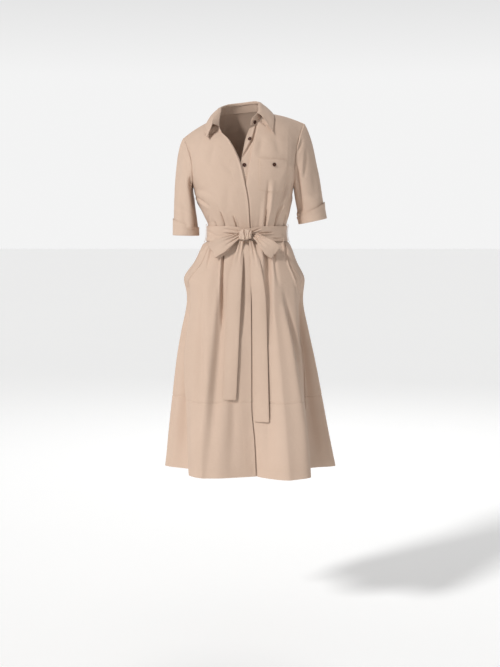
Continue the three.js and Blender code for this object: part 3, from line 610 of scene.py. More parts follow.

# Creases, as trough depth, half width, ridge beside it, where it fades, and its path in x and z.
# Measured on the front, and similar ones given for the back.
frontRightFolds = [
    (5.6, (1.5, 2.2), 0.3, "far", [(-41, -346), (-46, -320), (-59, -286)]),
    (1.7, (4.0, 7.0), 0.6, "far", [(-41, -346), (-52, -304), (-79, -256)]),
    (3.6, (1.3, 2.0), 0.4, "far", [(-66, -346), (-69, -330), (-75, -314)]),
    (3.8, (1.4, 2.2), 0.4, "far", [(-6, -346), (-11, -324), (-20, -298)]),
    (1.8, (1.6, 3.4), 0.5, "far", [(-93, -345), (-96, -318), (-92, -296)]),
    (2.0, (2.4, 4.0), 0.6, "both", [(-140, -236), (-120, -250), (-88, -273)]),
    (0.9, 8, 0.5, "both", [(-141, -218), (-112, -222), (-78, -238), (-58, -262)]),
    (0.9, 9, 0.5, "both", [(-55, -140), (-38, -152), (-18, -168)]),
    (1.2, 12, 0.6, "both", [(-118, -120), (-110, -160), (-112, -205)]),
    (1.0, 10, 0.5, "both", [(-72, -84), (-84, -116), (-88, -150)]),
    (0.9, 12, 0.4, "both", [(-30, -205), (-38, -240), (-34, -286)]),
    (5.0, 9, 0, "both", [(-98, -62), (-82, -42), (-62, -38)]),
]
frontLeftFolds = [
    (1.6, (6.0, 9.0), 0.3, "far", [(56, -350), (60, -300), (65, -236)]),
    (5.4, (1.5, 2.6), 0.3, "far", [(76, -346), (77, -318), (83, -278)]),
    (2.6, (4.6, 6.0), 1.1, "both", [(75, -338), (79, -290), (84, -250), (87, -190)]),
    (4.6, (1.4, 2.4), 0.4, "far", [(103, -346), (106, -318), (118, -284), (132, -258)]),
    (2.4, (4.0, 6.0), 0.7, "both", [(108, -312), (121, -266), (138, -221), (152, -166)]),
    (5.0, (1.4, 2.2), 0.4, "far", [(132, -346), (134, -318), (141, -290)]),
    (1.5, 8, 0.6, "both", [(152, -150), (140, -190), (134, -232)]),
    (1.2, 10, 0.6, "both", [(66, -62), (62, -92), (56, -124)]),
    (1.0, 11, 0.5, "both", [(104, -58), (112, -92), (120, -122)]),
    (5.4, (3.8, 1.6), 0, "far", [(57, -8), (68, -17), (81, -30)]),
]
backFolds = [
    (3.0, 4.0, 0.6, "far", [(-62, -346), (-64, -305), (-70, -262)]),
    (2.6, 4.2, -0.6, "far", [(-25, -346), (-27, -318), (-24, -288)]),
    (3.2, 4.0, -0.6, "far", [(98, -346), (100, -300), (108, -258)]),
    (2.4, 4.0, 0.6, "far", [(58, -346), (60, -316), (56, -284)]),
    (2.2, 7, 0.6, "both", [(-138, -236), (-108, -256), (-74, -268)]),
    (2.0, 7, -0.6, "both", [(158, -228), (130, -250), (98, -262)]),
    (1.5, 14, 0.5, "both", [(-120, -90), (-112, -140), (-116, -200)]),
    (1.4, 14, -0.5, "both", [(144, -70), (134, -128), (138, -190)]),
    (1.2, 16, 0.4, "both", [(-30, -60), (10, -72), (58, -58)]),
]


def tuckDepth(angle, z):
    deep = np.zeros(np.broadcast(angle, z).shape)
    tucks = bodice["tucks"]
    for at, amount, height, lean in zip(*[tucks[k] for k in ("angle", "deep", "height", "lean")]):
        rise = (z - level["waist"]) / height
        across = np.radians(angle - at - lean * rise) * ringRadius(angle, z)
        soft = np.exp(-(across / bodice["tuckHalfWidth"])**2)
        deep += amount * np.clip(1 - rise, 0, 1) * soft
    return deep


def bodicePoint(angle, z):
    return tilted(polar(angle, ringRadius(angle, z) - tuckDepth(angle, z), z))


def armholePoint(side, face, t):
    half, y, z = np.moveaxis(curve3(bodice["armhole" + face], "half y z")(t), -1, 0)
    return tilted(points(bodice["armholeCentre"] + side * half, y, z))


def shoulderSeam(side, share):
    start = necklineAt(bodice["neckRight"] if side < 0 else bodice["neckLeft"])
    end = armholePoint(side, "Front", 1)
    line = start + (end - start) * np.asarray(share)[..., None]
    line[..., 2] += 5 * np.sin(np.pi * np.asarray(share))
    return line


def backTop(side, u):
    share = 4 / 11
    neck = necklineAt(blend(0.5, bodice["neckRight"] if side < 0 else bodice["neckLeft"],
                            np.clip(u / share, 0, 1)))
    shoulder = shoulderSeam(side, np.clip((u - share) / (1 - share), 0, 1))
    return np.where((u < share)[..., None], neck, shoulder)


def topSlope(face, u):
    back = 1 if face == "Front" else -1
    over = np.array([0, back, 0.13])
    if face == "Front":
        return unit(over + np.zeros(u.shape + (3,)))
    toNeck = np.array([0, 0.5 * back, 0.8])
    share = np.minimum(u / (4 / 11), 1)[..., None]**2
    return unit(toNeck + (over - toNeck) * share)


def upperPanel(panel, u, t):
    def column(across):
        low = panel["ring"](across, level["armpit"] + 0 * across)
        lower = panel["ring"](across, level["armpit"] - 6 + 0 * across)
        top = panel["top"](across)
        reach = 1.15 * np.linalg.norm(top - low, axis=-1, keepdims=True)
        slopeTop = topSlope(panel["face"], across) * reach
        return hermite(low, unit(low - lower) * reach, top, slopeTop, t[..., None])
    inner = (panel["inner"](t) - column(0 * u)) * ((1 - u)**3)[..., None]
    outer = (panel["outer"](t) - column(0 * u + 1)) * (u**3)[..., None]
    return column(u) + inner + outer


def panelGrid(panel, u, v):
    share = bodice["lowerShare"]
    z = blend(level["waist"] - 1, level["armpit"], np.clip(v / share, 0, 1))
    low = panel["ring"](u, z)
    high = upperPanel(panel, u, np.clip((v - share) / (1 - share), 0, 1))
    return np.where((v < share)[..., None], low, high)


def innerEdge(opening, neckStart, neckEnd):
    openingAt = curve3(bodice[opening])
    corner = bodice["corner"]

    def edge(t):
        share = np.clip((t - corner) / (1 - corner), 0, 1)
        neck = necklineAt(blend(neckStart, neckEnd, share))
        return np.where((t < corner)[..., None], openingAt(t), neck)
    return edge


def ringBetween(edgeShift, side):
    def ring(u, z):
        start = frontAngle(flyEdgeAt(z) + edgeShift, z)
        return bodicePoint(blend(start, side * 90.2, u), z)
    return ring


rightFront = {
    "face": "Front", "ring": ringBetween(0, -1), "top": lambda u: shoulderSeam(-1, u),
    "inner": innerEdge("rightOpening", 0, bodice["neckRight"]),
    "outer": lambda t: armholePoint(-1, "Front", t),
}
leftFront = {
    "face": "Front", "ring": ringBetween(-4, 1), "top": lambda u: shoulderSeam(1, u),
    "inner": innerEdge("leftOpening", bodice["leftFrontNeck"], bodice["neckLeft"]),
    "outer": lambda t: armholePoint(1, "Front", t),
}


def backHalf(side):
    def ring(u, z):
        return bodicePoint(side * blend(180, 89.8, u), z)
    middleLow = ring(np.zeros(1), np.full(1, float(level["armpit"])))[0]
    middleTop = necklineAt(0.5)

    def middle(t):
        rise, over = np.array([0, 12, 190]), np.array([0, -100, 130])
        return hermite(middleLow, rise, middleTop, over, t[..., None])
    return {
        "face": "Back", "ring": ring, "top": lambda u: backTop(side, u), "inner": middle,
        "outer": lambda t: armholePoint(side, "Back", t),
    }


def underFly(x, z, reach):
    edge = flyEdgeAt(z)
    return 1 - fade(edge + 1.5, edge + reach, x)


stitchLines = {}


def sewn(group, line):
    stitchLines.setdefault(group, []).append(line)


def makeBodiceFronts():
    u, v = grid2(bodice["across"], bodice["up"])
    right = panelGrid(rightFront, u, v)
    sink = creased(right[..., [0, 2]], frontRightFolds, bodice["crease"])
    sink += ripple(right, 90, 3) * bodice["swell"] + seamDip(right, "right top", 0.5)
    sink += hemRise(right, "left", 30, 0.35) + 1.4 * np.exp(-(u / 0.022)**2)
    right = moved(right, sink, bodyInside)
    clothPiece("bodice_front_right", right, bodyInside, "hung")
    sewn("bodice", along(right, "right", 5, bodyInside))
    sewn("bodice", along(right, "top", 6, bodyInside))
    sewn("bodice", along(right, "left", 32, bodyInside))

    left = panelGrid(leftFront, u, v)
    depth = 2 * cloth["layer"] + bodice["flyGap"]
    under = -depth * underFly(left[..., 0], left[..., 2], bodice["flyReach"])
    under = under * fade(-130, -170, left[..., 2])
    valley = 1 - fade(0.0, 0.05, u)
    opened = fade(-215, -190, left[..., 2])
    under -= bodice["openValley"] * valley**1.5 * opened
    sink = creased(left[..., [0, 2]], frontLeftFolds, bodice["crease"])
    sink += ripple(left, 90, 5) * bodice["swell"] + seamDip(left, "right top")
    left = moved(left, under + sink, bodyInside)
    clothPiece("bodice_front_left", left, bodyInside, "hung")
    sewn("bodice", along(left, "right", 5, bodyInside))
    sewn("bodice", along(left, "top", 6, bodyInside))
    return left


def makeBodiceBack():
    u, v = grid2(80, bodice["up"])
    halves = [panelGrid(backHalf(side), u, v) for side in (-1, 1)]
    back = np.concatenate([halves[0][:, ::-1], halves[1][:, 1:]], 1)
    sink = creased(back[..., [0, 2]], backFolds, bodice["crease"])
    sink = sink + ripple(back, 100, 7) * bodice["swell"]
    sink += seamDip(back, "left right")
    back = moved(back, sink, bodyInside)
    clothPiece("bodice_back", back, bodyInside, "hung")
    for side in ("left", "right"):
        sewn("bodice", along(back, side, 5, bodyInside))


def makeButtonBand():
    edgeAt = curve3(bodice["bandEdge"])
    u, v = grid2(14, 110)
    share = bodice["lowerShare"]
    z = blend(level["waist"] + 1, level["armpit"], np.clip(v / share, 0, 1))
    x = blend(buttonLineAt(z) - bodice["bandHalfWidth"], flyEdgeAt(z) - 1, u)
    low = bodicePoint(frontAngle(x, z), z)
    t = 0.985 * bodice["corner"] * np.clip((v - share) / (1 - share), 0, 1)
    seam = leftFront["inner"](t) + np.array([4, 0, 0])
    edge = edgeAt(t)
    high = edge + (seam - edge) * u[..., None]
    band = np.where((v < share)[..., None], low, high)
    band = moved(band, -(3 * cloth["layer"] + 0.8), bodyInside)
    band = moved(band, creased(band[..., [0, 2]], [
        (7.0, 2.6, 0.4, "both", [(54, -8), (47, -42), (42, -62), (35, -78), (25, -97), (13, -117),
                                 (3, -134)]),
        (1.0, 5.0, 0.5, "both", [(9, -120), (12, -150), (8, -182)]),
    ]), bodyInside)
    clothPiece("button_band", band, bodyInside, "hung")
    sewn("band", along(band, "left", 2.5, bodyInside))
    return band


def makeFlyPlacket():
    u, v = grid2(12, 110)
    share = bodice["lowerShare"]
    t = (v - share) / (1 - share)
    beyond = 0.018 * (1 - np.clip(u * 2, 0, 1)) * fade(0.2, 0.35, t)
    top = share + (1 - share) * bodice["corner"]
    strip = panelGrid(rightFront, u * 2 / 15 - beyond, v * top)
    strip = moved(strip, -(cloth["layer"] + 0.4), bodyInside)
    clothPiece("fly_placket", strip, bodyInside, "hung", 0.9)


leftCloth = makeBodiceFronts()
makeBodiceBack()
bandCloth = makeButtonBand()
makeFlyPlacket()
print("bodice made")


# Sleeves with turned-up cuffs

sleeves = {
    "right": {"side": -1, "x": -166, "y": 20, "z": -358, "halfWidth": 41, "halfDepth": 50, "tilt": 1,
              "flare": 0.3},
    "left": {"side": 1, "x": 223, "y": 18, "z": -315, "halfWidth": 45, "halfDepth": 50, "tilt": 12,
             "flare": 1.2},
    "around": 116, "up": 84, "cuffHeight": 47, "length": 270, "crease": 1.5,
}
sleeveFolds = {
    "right": [
        (9.0, (5, 11), 0.5, "near", [(-152, -168), (-147, -205), (-138, -250), (-131, -298),
                                     (-129, -330)]),
        (2.0, 9, 0.6, "both", [(-176, -240), (-170, -280), (-163, -330)]),
        (1.8, 8, 0.6, "both", [(-168, -112), (-160, -140), (-152, -176)]),
        (1.4, 12, 0.5, "both", [(-186, -120), (-190, -170), (-184, -228)]),
        (1.6, 8, -0.6, "both", [(-196, -262), (-184, -280), (-170, -288)]),
    ],
    "left": [
        (2.8, 5, 0.7, "both", [(190, -66), (182, -88), (172, -112)]),
        (2.4, 5, 0.8, "both", [(201, -94), (198, -130), (194, -184)]),
        (6.0, (5, 8), 0.5, "near", [(167, -140), (173, -190), (177, -232), (181, -280)]),
        (1.8, 9, -0.6, "both", [(222, -150), (226, -196), (232, -246)]),
        (1.6, 8, 0.6, "both", [(206, -226), (222, -238), (242, -236)]),
    ],
}
sleeveBackFolds = {
    "right": [
        (2.4, 7, 0.6, "both", [(-158, -150), (-148, -196), (-140, -246)]),
        (2.0, 9, -0.6, "both", [(-184, -180), (-176, -228), (-164, -268)]),
        (1.8, 8, 0.6, "both", [(-190, -262), (-172, -274), (-148, -270)]),
    ],
    "left": [
        (2.4, 7, -0.6, "both", [(186, -120), (184, -166), (186, -214)]),
        (2.0, 9, 0.6, "both", [(214, -140), (216, -188), (222, -232)]),
        (1.8, 8, 0.6, "both", [(206, -222), (222, -232), (244, -226)]),
    ],
}


def sleeveSurface(sleeve):
    side = sleeve["side"]
    tilt = math.radians(sleeve["tilt"])
    axis = np.array([side * math.sin(tilt), 0, -math.cos(tilt)])
    outward = np.array([side * math.cos(tilt), 0, math.sin(tilt)])
    end = np.array([sleeve["x"], sleeve["y"], sleeve["z"]]) - 1.5 * axis
    inCuff = cloth["cuff"] + 0.3

    def surface(turn, v):
        cosine, sine = np.cos(2 * np.pi * turn), np.sin(2 * np.pi * turn)
        front = armholePoint(side, "Front", np.abs(1 - turn * 2))
        rear = armholePoint(side, "Back", np.abs(1 - turn * 2))
        start = np.where((turn <= 0.5)[..., None], front, rear)
        leave = unit(points(side * (0.43 + 0.35 * cosine), -0.35 * sine, -(0.78 - 0.16 * cosine)))
        start = start - leave * 0.6
        finish = (end + outward * ((sleeve["halfWidth"] - inCuff) * cosine)[..., None]
                  + points(0, -(sleeve["halfDepth"] - inCuff) * sine, 0))
        reach = np.linalg.norm(finish - start, axis=-1, keepdims=True)
        return hermite(start, 0.38 * reach * leave, finish, 0.8 * reach * axis, v[..., None])
    return surface, axis


def makeSleeve(label):
    sleeve = sleeves[label]
    surface, axis = sleeveSurface(sleeve)
    count = sleeves["around"]
    inside = (sleeve["x"] - sleeve["side"] * 12, 8, sleeve["z"] + 90)
    turn, v = np.meshgrid(np.arange(count) / count, np.linspace(0, 1, sleeves["up"] + 1))
    grid = surface(turn, v)
    frontFacing = fade(0.2, -0.2, normalsOf(grid, inside, True)[..., 1])
    calm = 1 - fade(0.84, 0.93, v)
    sink = creased(grid[..., [0, 2]], sleeveFolds[label], sleeves["crease"]) * frontFacing
    sink += creased(grid[..., [0, 2]], sleeveBackFolds[label], sleeves["crease"]) * (1 - frontFacing)
    sink += ripple(grid, 80, 11 + sleeve["side"]) * 0.9
    sink = sink * calm + 0.7 * np.exp(-((v - 0.03) / 0.02)**2) - 1.0 * np.exp(-(v / 0.012)**2)
    name = f"sleeve_{label}"
    clothPiece(name, moved(grid, sink, inside, True), inside, "hung",
               closed=True)

    # the cuff runs down outside the sleeve, round its lower edge and up inside it
    topShare = 1 - sleeves["cuffHeight"] / sleeves["length"]
    outside = np.linspace(topShare, 1, 22)
    profile = [(share, 2.3, 0) for share in outside]
    profile += [(1, 2.1, 0.8), (1, 1.3, 1.6), (1, 0, 1.9), (1, -1.3, 1.5), (1, -2.0, 0.6)]
    profile += [(share, -2.1, 0) for share in (0.985, 0.965, 0.94)]
    turn, v = np.meshgrid(np.arange(count) / count, np.array([p[0] for p in profile]))
    base = surface(turn, v)
    steady = normalsOf(surface(turn, np.linspace(topShare, 1, len(profile))[:, None] + 0 * turn),
                       inside, True)
    out = np.array([p[1] for p in profile])[:, None] + 0 * turn
    swell = ripple(base, 60, 17 + sleeve["side"]) * 0.7
    opening = sleeve["flare"] * (1 - fade(0, 0.35, np.linspace(0, 1, len(profile))))[:, None]
    out = out + swell + opening * (1 + np.sin(2 * np.pi * turn * 2 + 0.6))
    drop = np.array([p[2] for p in profile])[:, None, None]
    cuff = base + steady * out[..., None] + axis * drop
    clothPiece(f"cuff_{label}", cuff, inside, "folded", 1.0, True)
    sewn("sleeves", along(cuff, "bottom", 4, inside, True))
    sewn("sleeves", along(cuff, "bottom", 30, inside, True))


for sleeveLabel in ("right", "left"):
    makeSleeve(sleeveLabel)
print("sleeves made")


# Collar: a stand, and a leaf that rolls over it

collar = {
    "standHeight": 28, "standLean": 0.4, "roll": 2.6,
    "leafEdge": columns(
        "t x y z rise", [0.06, -98, -93, -66, 21], [0.16, -104, -52, -37, 9],
        [0.3, -99, 10, -12, 5], [0.4, -68, 70, -2, 4], [0.5, 2, 86, 4, 4],
        [0.6, 70, 70, 12, 4], [0.7, 95, 12, 14, 3], [0.82, 103, -46, -4, 3],
        [0.93, 98, -95, -50, 7]),
    "rightDrop": 0.8,
}


def standPoint(t, v):
    base = necklineAt(t)
    inward = unit(points(-base[..., 0], -base[..., 1], 0))
    openFront = 1 - fade(0, 0.2, np.minimum(t, 1 - t))
    lean = blend(collar["standLean"], -0.25, openFront)
    out = base + inward * (0.4 + lean * collar["standHeight"] * v)[..., None]
    # the open front folds its end of the stand down
    folded = collar["rightDrop"] * fade(0.17, 0.05, t)
    out[..., 2] += 0.2 + collar["standHeight"] * v * blend(1, 0.75, openFront) * (1 - folded)
    return out


def makeCollar():
    u, v = grid2(130, 12)
    corner = np.minimum(u, 1 - u) / 0.035
    rounding = np.sqrt(np.clip(1 - (1 - np.clip(corner, 0, 1))**2, 0, 1))
    stand = standPoint(u, v * blend(0.62, 1, rounding))
    inside = (0, 0, 30)
    clothPiece("collar_stand", stand, inside, "folded", 1.4)
    sewn("collar", along(stand, "bottom", 3, inside))

    edge = collar["leafEdge"]
    edgeAt, riseAt = curve3(edge), smooth(edge, "t", "rise")
    curl = 0.16
    across, share = grid2(132, 34)
    t = blend(edge["t"][0], edge["t"][-1], across)
    v = np.clip((share - curl) / (1 - curl), 0, 1)
    fold = standPoint(t, np.ones_like(t)) + np.array([0, 0, cloth["leaf"] + 0.9])
    outward = unit(points(fold[..., 0], fold[..., 1], 0))
    ends = fade(0.2, 0.08, t) + fade(0.86, 0.92, t)
    peaked = np.minimum(v / 0.3, (1 - v) / 0.7)
    arch = riseAt(t) * blend(4 * v * (1 - v), peaked, ends)
    arch += 1.2 * np.sin(np.pi * np.clip(v / 0.25, 0, 1))
    leaf = fold + (edgeAt(t) - fold) * v[..., None] + outward * (arch * 0.6)[..., None]
    leaf[..., 2] += arch * 0.8
    turn = np.clip((curl - share) / curl, 0, 1) * math.radians(150)
    leaf -= outward * (collar["roll"] * np.sin(turn))[..., None]
    leaf[..., 2] -= collar["roll"] * (1 - np.cos(turn)) + 3 * np.clip(turn - 1.5, 0, 2)
    leaf[..., 2] += ripple(leaf, 70, 23) * 0.5 * v
    below = (0, 0, -60)
    clothPiece("collar_leaf", leaf, below, "folded", 1.3)
    sewn("collar", along(leaf, "top", 5, below))
    for side in ("left", "right"):
        line, normals = along(leaf, side, 5, below)
        sewn("collar", (line[8:-2], normals[8:-2]))
    return stand


standCloth = makeCollar()
print("collar made")


# Skirt and its deep hem panel: each station is one line of the cloth from waist to hem

skirt = {
    "folds": columns(
        "station waistAngle hipAngle hemAngle waistOut hipOut hemRadius",
        [-180, -180, -180, -180, 0, 0, 236], [-158, -158, -158, -156, -2.5, -3, 204],
        [-136, -136, -136, -134, 0, 3, 240], [-114, -114, -114, -114, -2.5, -4, 210],
        [-93, -91, -93, -93, 0, 1, 265], [-82, -78, -82, -74, -2.5, -4, 180],
        [-69, -66, -69, -51, 0, 3, 228], [-44, -48, -44, -38, 0, 3, 238],
        [-31, -40, -31, -28, -3.5, -5, 214], [-12, -17, -12, -10, -2.5, 0, 175],
        [6, 4, 6, 5.5, 0, 0, 160], [24, 34, 24, 14.5, -3.5, -6, 191],
        [34, 42, 34, 29, 0, 3, 248], [51, 52, 51, 43, -3, 0, 247], [70, 64, 72, 50, 0, 3, 236],
        [82, 76, 82, 75, -3, -4, 180], [93, 90, 93, 92, 0, 1, 266],
        [114, 114, 114, 114, -2.5, -4, 212], [136, 136, 136, 134, 0, 3, 240],
        [158, 158, 158, 156, -2.5, -3, 204], [180, 180, 180, 180, 0, 0, 236]),
    "bulges": ((-88, -487, 12), (88, -492, 5)),
    "foldStart": -400, "growth": 1.35, "tuckFade": -470, "underlap": 25, "swell": 2.2, "crease": 1.7,
    "hemWidth": 26, "seam": 90.12,
}
skirtFrontFolds = [
    (6.5, (2.2, 3.6), 0.6, "far", [(-48, -372), (-50, -419), (-54, -500), (-54, -640)]),
    (6.0, (5, 24), 0.5, "near", [(-50, -430), (-56, -600), (-68, -760), (-86, -930), (-104, -1085)]),
    (4.0, (8, 20), -0.4, "both", [(-112, -500), (-116, -640), (-118, -850), (-124, -1085)]),
    (2.6, (1.8, 3.4), 0.7, "far", [(-82, -374), (-89, -408), (-101, -465)]),
    (3.0, (10, 20), 0.5, "both", [(-150, -700), (-163, -857), (-178, -1085)]),
    (8.6, (8.0, 12.0), 0.6, "far", [(78, -372), (83, -430), (85, -520), (88, -680)]),
    (2.6, (1.6, 2.4), 0.8, "both", [(132, -360), (146, -439), (161, -470), (176, -506), (186, -550)]),
    (3.4, (2.5, 7), 0.5, "far", [(101, -376), (105, -437), (116, -510)]),
    (6.5, (6, 17), 0.9, "near", [(128, -500), (150, -610), (180, -765), (200, -880), (214, -980),
                                 (224, -1090)]),
    (7.5, (7, 15), 0.5, "both", [(172, -500), (186, -600), (204, -761), (216, -866), (250, -1100)]),
    (7.0, (20, 32), 0.3, "near", [(178, -540), (200, -700), (222, -860), (262, -1100)]),
    (4.4, (1.8, 3.2), 0.7, "far", [(133, -366), (136, -406), (140, -432)]),
    (4.6, (5, 12), 0.8, "both", [(10, -400), (5, -520), (0, -660)]),
    (2.6, (10, 22), 0.5, "both", [(66, -600), (78, -820), (96, -1085)]),
    (2.2, (8, 18), 0.5, "both", [(-14, -700), (-18, -860), (-28, -1085)]),
]
skirtBackFolds = [
    (3.6, 6, 0.7, "all", [(-62, -372), (-70, -480), (-84, -700), (-104, -900), (-118, -1080)]),
    (3.0, 10, -0.6, "both", [(-20, -400), (-24, -620), (-40, -900), (-48, -1076)]),
    (3.4, 5, -0.8, "far", [(96, -372), (102, -440), (106, -600)]),
    (3.6, 12, 0.6, "both", [(70, -470), (84, -700), (92, -1076)]),
    (2.6, 14, -0.5, "both", [(176, -640), (196, -860), (214, -1076)]),
    (2.4, 13, 0.5, "both", [(-158, -620), (-172, -840), (-190, -1076)]),
    (2.0, 4, 0.6, "far", [(-104, -368), (-108, -410), (-118, -448)]),
    (2.2, 4, 0.6, "far", [(28, -368), (30, -404), (26, -452)]),
    (1.8, 12, 0.5, "both", [(30, -560), (26, -760), (20, -1040)]),
]
skirtInside = (20, 0, -700)
foldAt = {name: smooth(skirt["folds"], "station", name)
          for name in "waistAngle hipAngle hemAngle waistOut hipOut hemRadius".split()}


def skirtPoint(lineOfCloth, z):
    lineOfCloth, z = np.broadcast_arrays(lineOfCloth, z)
    station = np.mod(lineOfCloth + 180, 360) - 180
    at = {name: curve(station) for name, curve in foldAt.items()}
    waist, hip, hem = level["waist"], level["hip"], level["hem"]
    upper = blend(at["waistAngle"], at["hipAngle"], fade(waist, hip, z))
    lower = blend(at["hipAngle"], at["hemAngle"], fade(hip, 2 * hem - hip, z) * 2)
    angle = np.where(z > hip, upper, lower)
    start = skirt["foldStart"]
    hemOut = at["hemRadius"] - ringRadius(at["hemAngle"], hem)
    out = hemOut * np.maximum(0, (start - z) / (start - hem))**skirt["growth"]
    out = out + at["waistOut"] * (1 - fade(waist, skirt["tuckFade"], z))
    out += at["hipOut"] * fade(waist, hip, z) * (1 - fade(hip, hem, z))
    for middle, height, push in skirt["bulges"]:
        out += push * np.exp(-((station - middle) / 22)**2 - ((z - height) / 34)**2)
    return polar(angle, ringRadius(angle, z) + out, z)


def skirtStation(x, z):
    x, z = np.broadcast_arrays(x, z)
    low, high = np.full(x.shape, -60.0), np.full(x.shape, 60.0)
    for _ in range(26):
        middle = (low + high) / 2
        short = skirtPoint(middle, z)[..., 0] < x
        low, high = np.where(short, middle, low), np.where(short, high, middle)
    return (low + high) / 2


def skirtRelief(grid):
    # creases of the front and of the back, parted at the side seams
    front = fade(14, -14, grid[..., 1])
    flat = grid[..., [0, 2]]
    gain = skirt["crease"]
    sink = creased(flat, skirtFrontFolds, gain) * front
    sink += creased(flat, skirtBackFolds, gain) * (1 - front)
    low = fade(level["waist"] - 30, level["hip"], grid[..., 2])
    return sink + ripple(grid, 170, 29) * skirt["swell"] * (0.4 + 0.6 * low)


def makeSkirt():
    seam = skirt["seam"]

    def flyStation(z):
        return skirtStation(flyEdgeAt(z), z)

    def underStation(z):
        return skirtStation(flyEdgeAt(z) - skirt["underlap"], z)
    edges = {
        "front_right": (lambda z: -seam + 0 * z, flyStation, 146),
        "front_left": (underStation, lambda z: seam + 0 * z, 146),
        "back": (lambda z: 180 - seam + 0 * z, lambda z: 180 + seam + 0 * z, 216),
    }
    waist, hemSeam = level["waist"], level["hemSeam"]
    bands = {"skirt": (waist, hemSeam, 128), "hem": (hemSeam + 1, level["hem"], 60)}
    for band, (top, bottom, up) in bands.items():
        for label, (start, end, across) in edges.items():
            heights = np.linspace(bottom, top, up + 1)
            share, z = np.meshgrid(np.linspace(0, 1, across + 1), heights)
            grid = skirtPoint(blend(start(heights)[:, None], end(heights)[:, None], share), z)
            sink = skirtRelief(grid)
            sink += seamDip(grid, "bottom" if band == "skirt" else "top", 1.1)
            if band == "hem":
                sink += hemRise(grid, "bottom", skirt["hemWidth"], 0.45)
                sink -= 0.9 * np.clip(1 - fromEdge(grid, "top") / 2, 0, 1)
            if label == "back":
                sink += seamDip(grid, "left right")
            if label == "front_right":
                sink += seamDip(grid, "left") + hemRise(grid, "right", 32, 0.35)
            if label == "front_left":
                under = underFly(grid[..., 0], grid[..., 2], 5.5)
                sink += seamDip(grid, "right") - (cloth["layer"] + 3.2) * under
            grid = moved(grid, sink, skirtInside)
            clothPiece(f"{band}_{label}", grid, skirtInside, "hung")
            side = {"front_right": "left", "front_left": "right", "back": "left"}[label]
            sewn("skirt", along(grid, side, 5, skirtInside))
            if label == "back":
                sewn("skirt", along(grid, "right", 5, skirtInside))
            if label == "front_right":
                sewn("skirt", along(grid, "right", 32, skirtInside))
            edge, inset = ("bottom", 5) if band == "skirt" else ("bottom", skirt["hemWidth"])
            sewn("skirt", along(grid, edge, inset, skirtInside))


makeSkirt()
print("skirt made")


# Pockets: a patch on the chest, and slanted openings at the hips

pockets = {
    "left": 58, "right": 140, "top": -129, "drop": 98, "tilt": -0.04, "lift": 1.3,
    "mouths": columns("z seam mouth", [-512, 77, 87], [-470, 67, 80], [-430, 62, 74], [-388, 62, 70]),
    "gape": 4,
}


def makeChestPocket():
    tree = facing(leftCloth)
    u, v = grid2(52, 62)
    x = blend(pockets["left"], pockets["right"], u)
    drop = pockets["drop"] - np.abs(u - 0.5) * 12
    z = pockets["top"] + pockets["tilt"] * (x - pockets["left"]) - drop * (1 - v)
    seats = [seenFromFront(tree, px, pz) for px, pz in zip(x.ravel(), z.ravel())]
    hits = np.array([seat[0] for seat in seats]).reshape(u.shape + (3,))
    patch = moved(hits, pockets["lift"] + 0.3, bodyInside)
    sink = hemRise(patch, "top", 24, 0.4)
    sink += 1.3 * np.exp(-((1 - v) / 0.1)**2) * np.sin(np.pi * u)**0.5
    sink -= 0.5 * sum(np.exp(-(fromEdge(patch, side) / 1.2)**2) for side in ("left", "right", "bottom"))
    sink += ripple(patch, 46, 41) * 0.6
    patch = moved(patch, sink, bodyInside)
    clothPiece("chest_pocket", patch, bodyInside, "hung")
    for side in ("left", "right", "bottom"):
        sewn("pocket", along(patch, side, 1.8, bodyInside))
    sewn("pocket", along(patch, "top", 22, bodyInside))
    return patch


def makeWelts():
    mouths = pockets["mouths"]
    seamAt, mouthAt = smooth(mouths, "z", "seam"), smooth(mouths, "z", "mouth")
    for side, label in ((-1, "right"), (1, "left")):
        u, v = grid2(14, 62)
        z = blend(mouths["z"].min(), mouths["z"].max(), v)
        grid = skirtPoint(side * blend(seamAt(z), mouthAt(z), u), z)
        ends = np.sin(np.pi * np.clip(v, 0, 1))**0.6
        lift = 0.9 + pockets["gape"] * u**2 * (0.35 + 0.65 * ends) + skirtRelief(grid)
        grid = moved(grid, lift, skirtInside)
        clothPiece(f"pocket_welt_{label}", grid, skirtInside, "folded")
        sewn("skirt", along(grid, "left", 2, skirtInside))
        sewn("skirt", along(grid, "right", 6, skirtInside))


patchCloth = makeChestPocket()
makeWelts()
print("pockets made")


# Belt, tied in a bow

belt = {
    "height": 45, "centre": -351, "thick": 1.4, "around": 280, "crowdedFront": 0.62,
    "knot": {"x": 16.6, "y": -108.8, "z": -353, "halfX": 19, "halfY": 12.5, "halfZ": 16, "lean": 0.22},
    "loops": {
        "bow_loop_right": {"startX": -5, "startZ": -357, "endX": -84, "endZ": -401, "drop": 14},
        "bow_loop_left": {"startX": 45, "startZ": -355, "endX": 108, "endZ": -407, "drop": 4},
    },
    "loopBack": -101, "loopWidth": 45, "loopStartWidth": 20, "loopBulge": 20,
    "tails": {
        "belt_tail_right": columns(
            "z x width", [-841, -30.5, 40], [-605, -19.8, 40], [-487, -14.2, 41],
            [-430, -6, 30], [-400, 0, 20], [-370.9, 5, 13]),
        "belt_tail_left": columns(
            "z x width", [-907, 64.5, 45], [-650, 59.5, 43], [-552, 57, 42], [-487, 51, 38],
            [-420, 44, 26], [-395, 39, 19], [-370.9, 33, 13]),
    },
    "carrierWidth": 6,
}
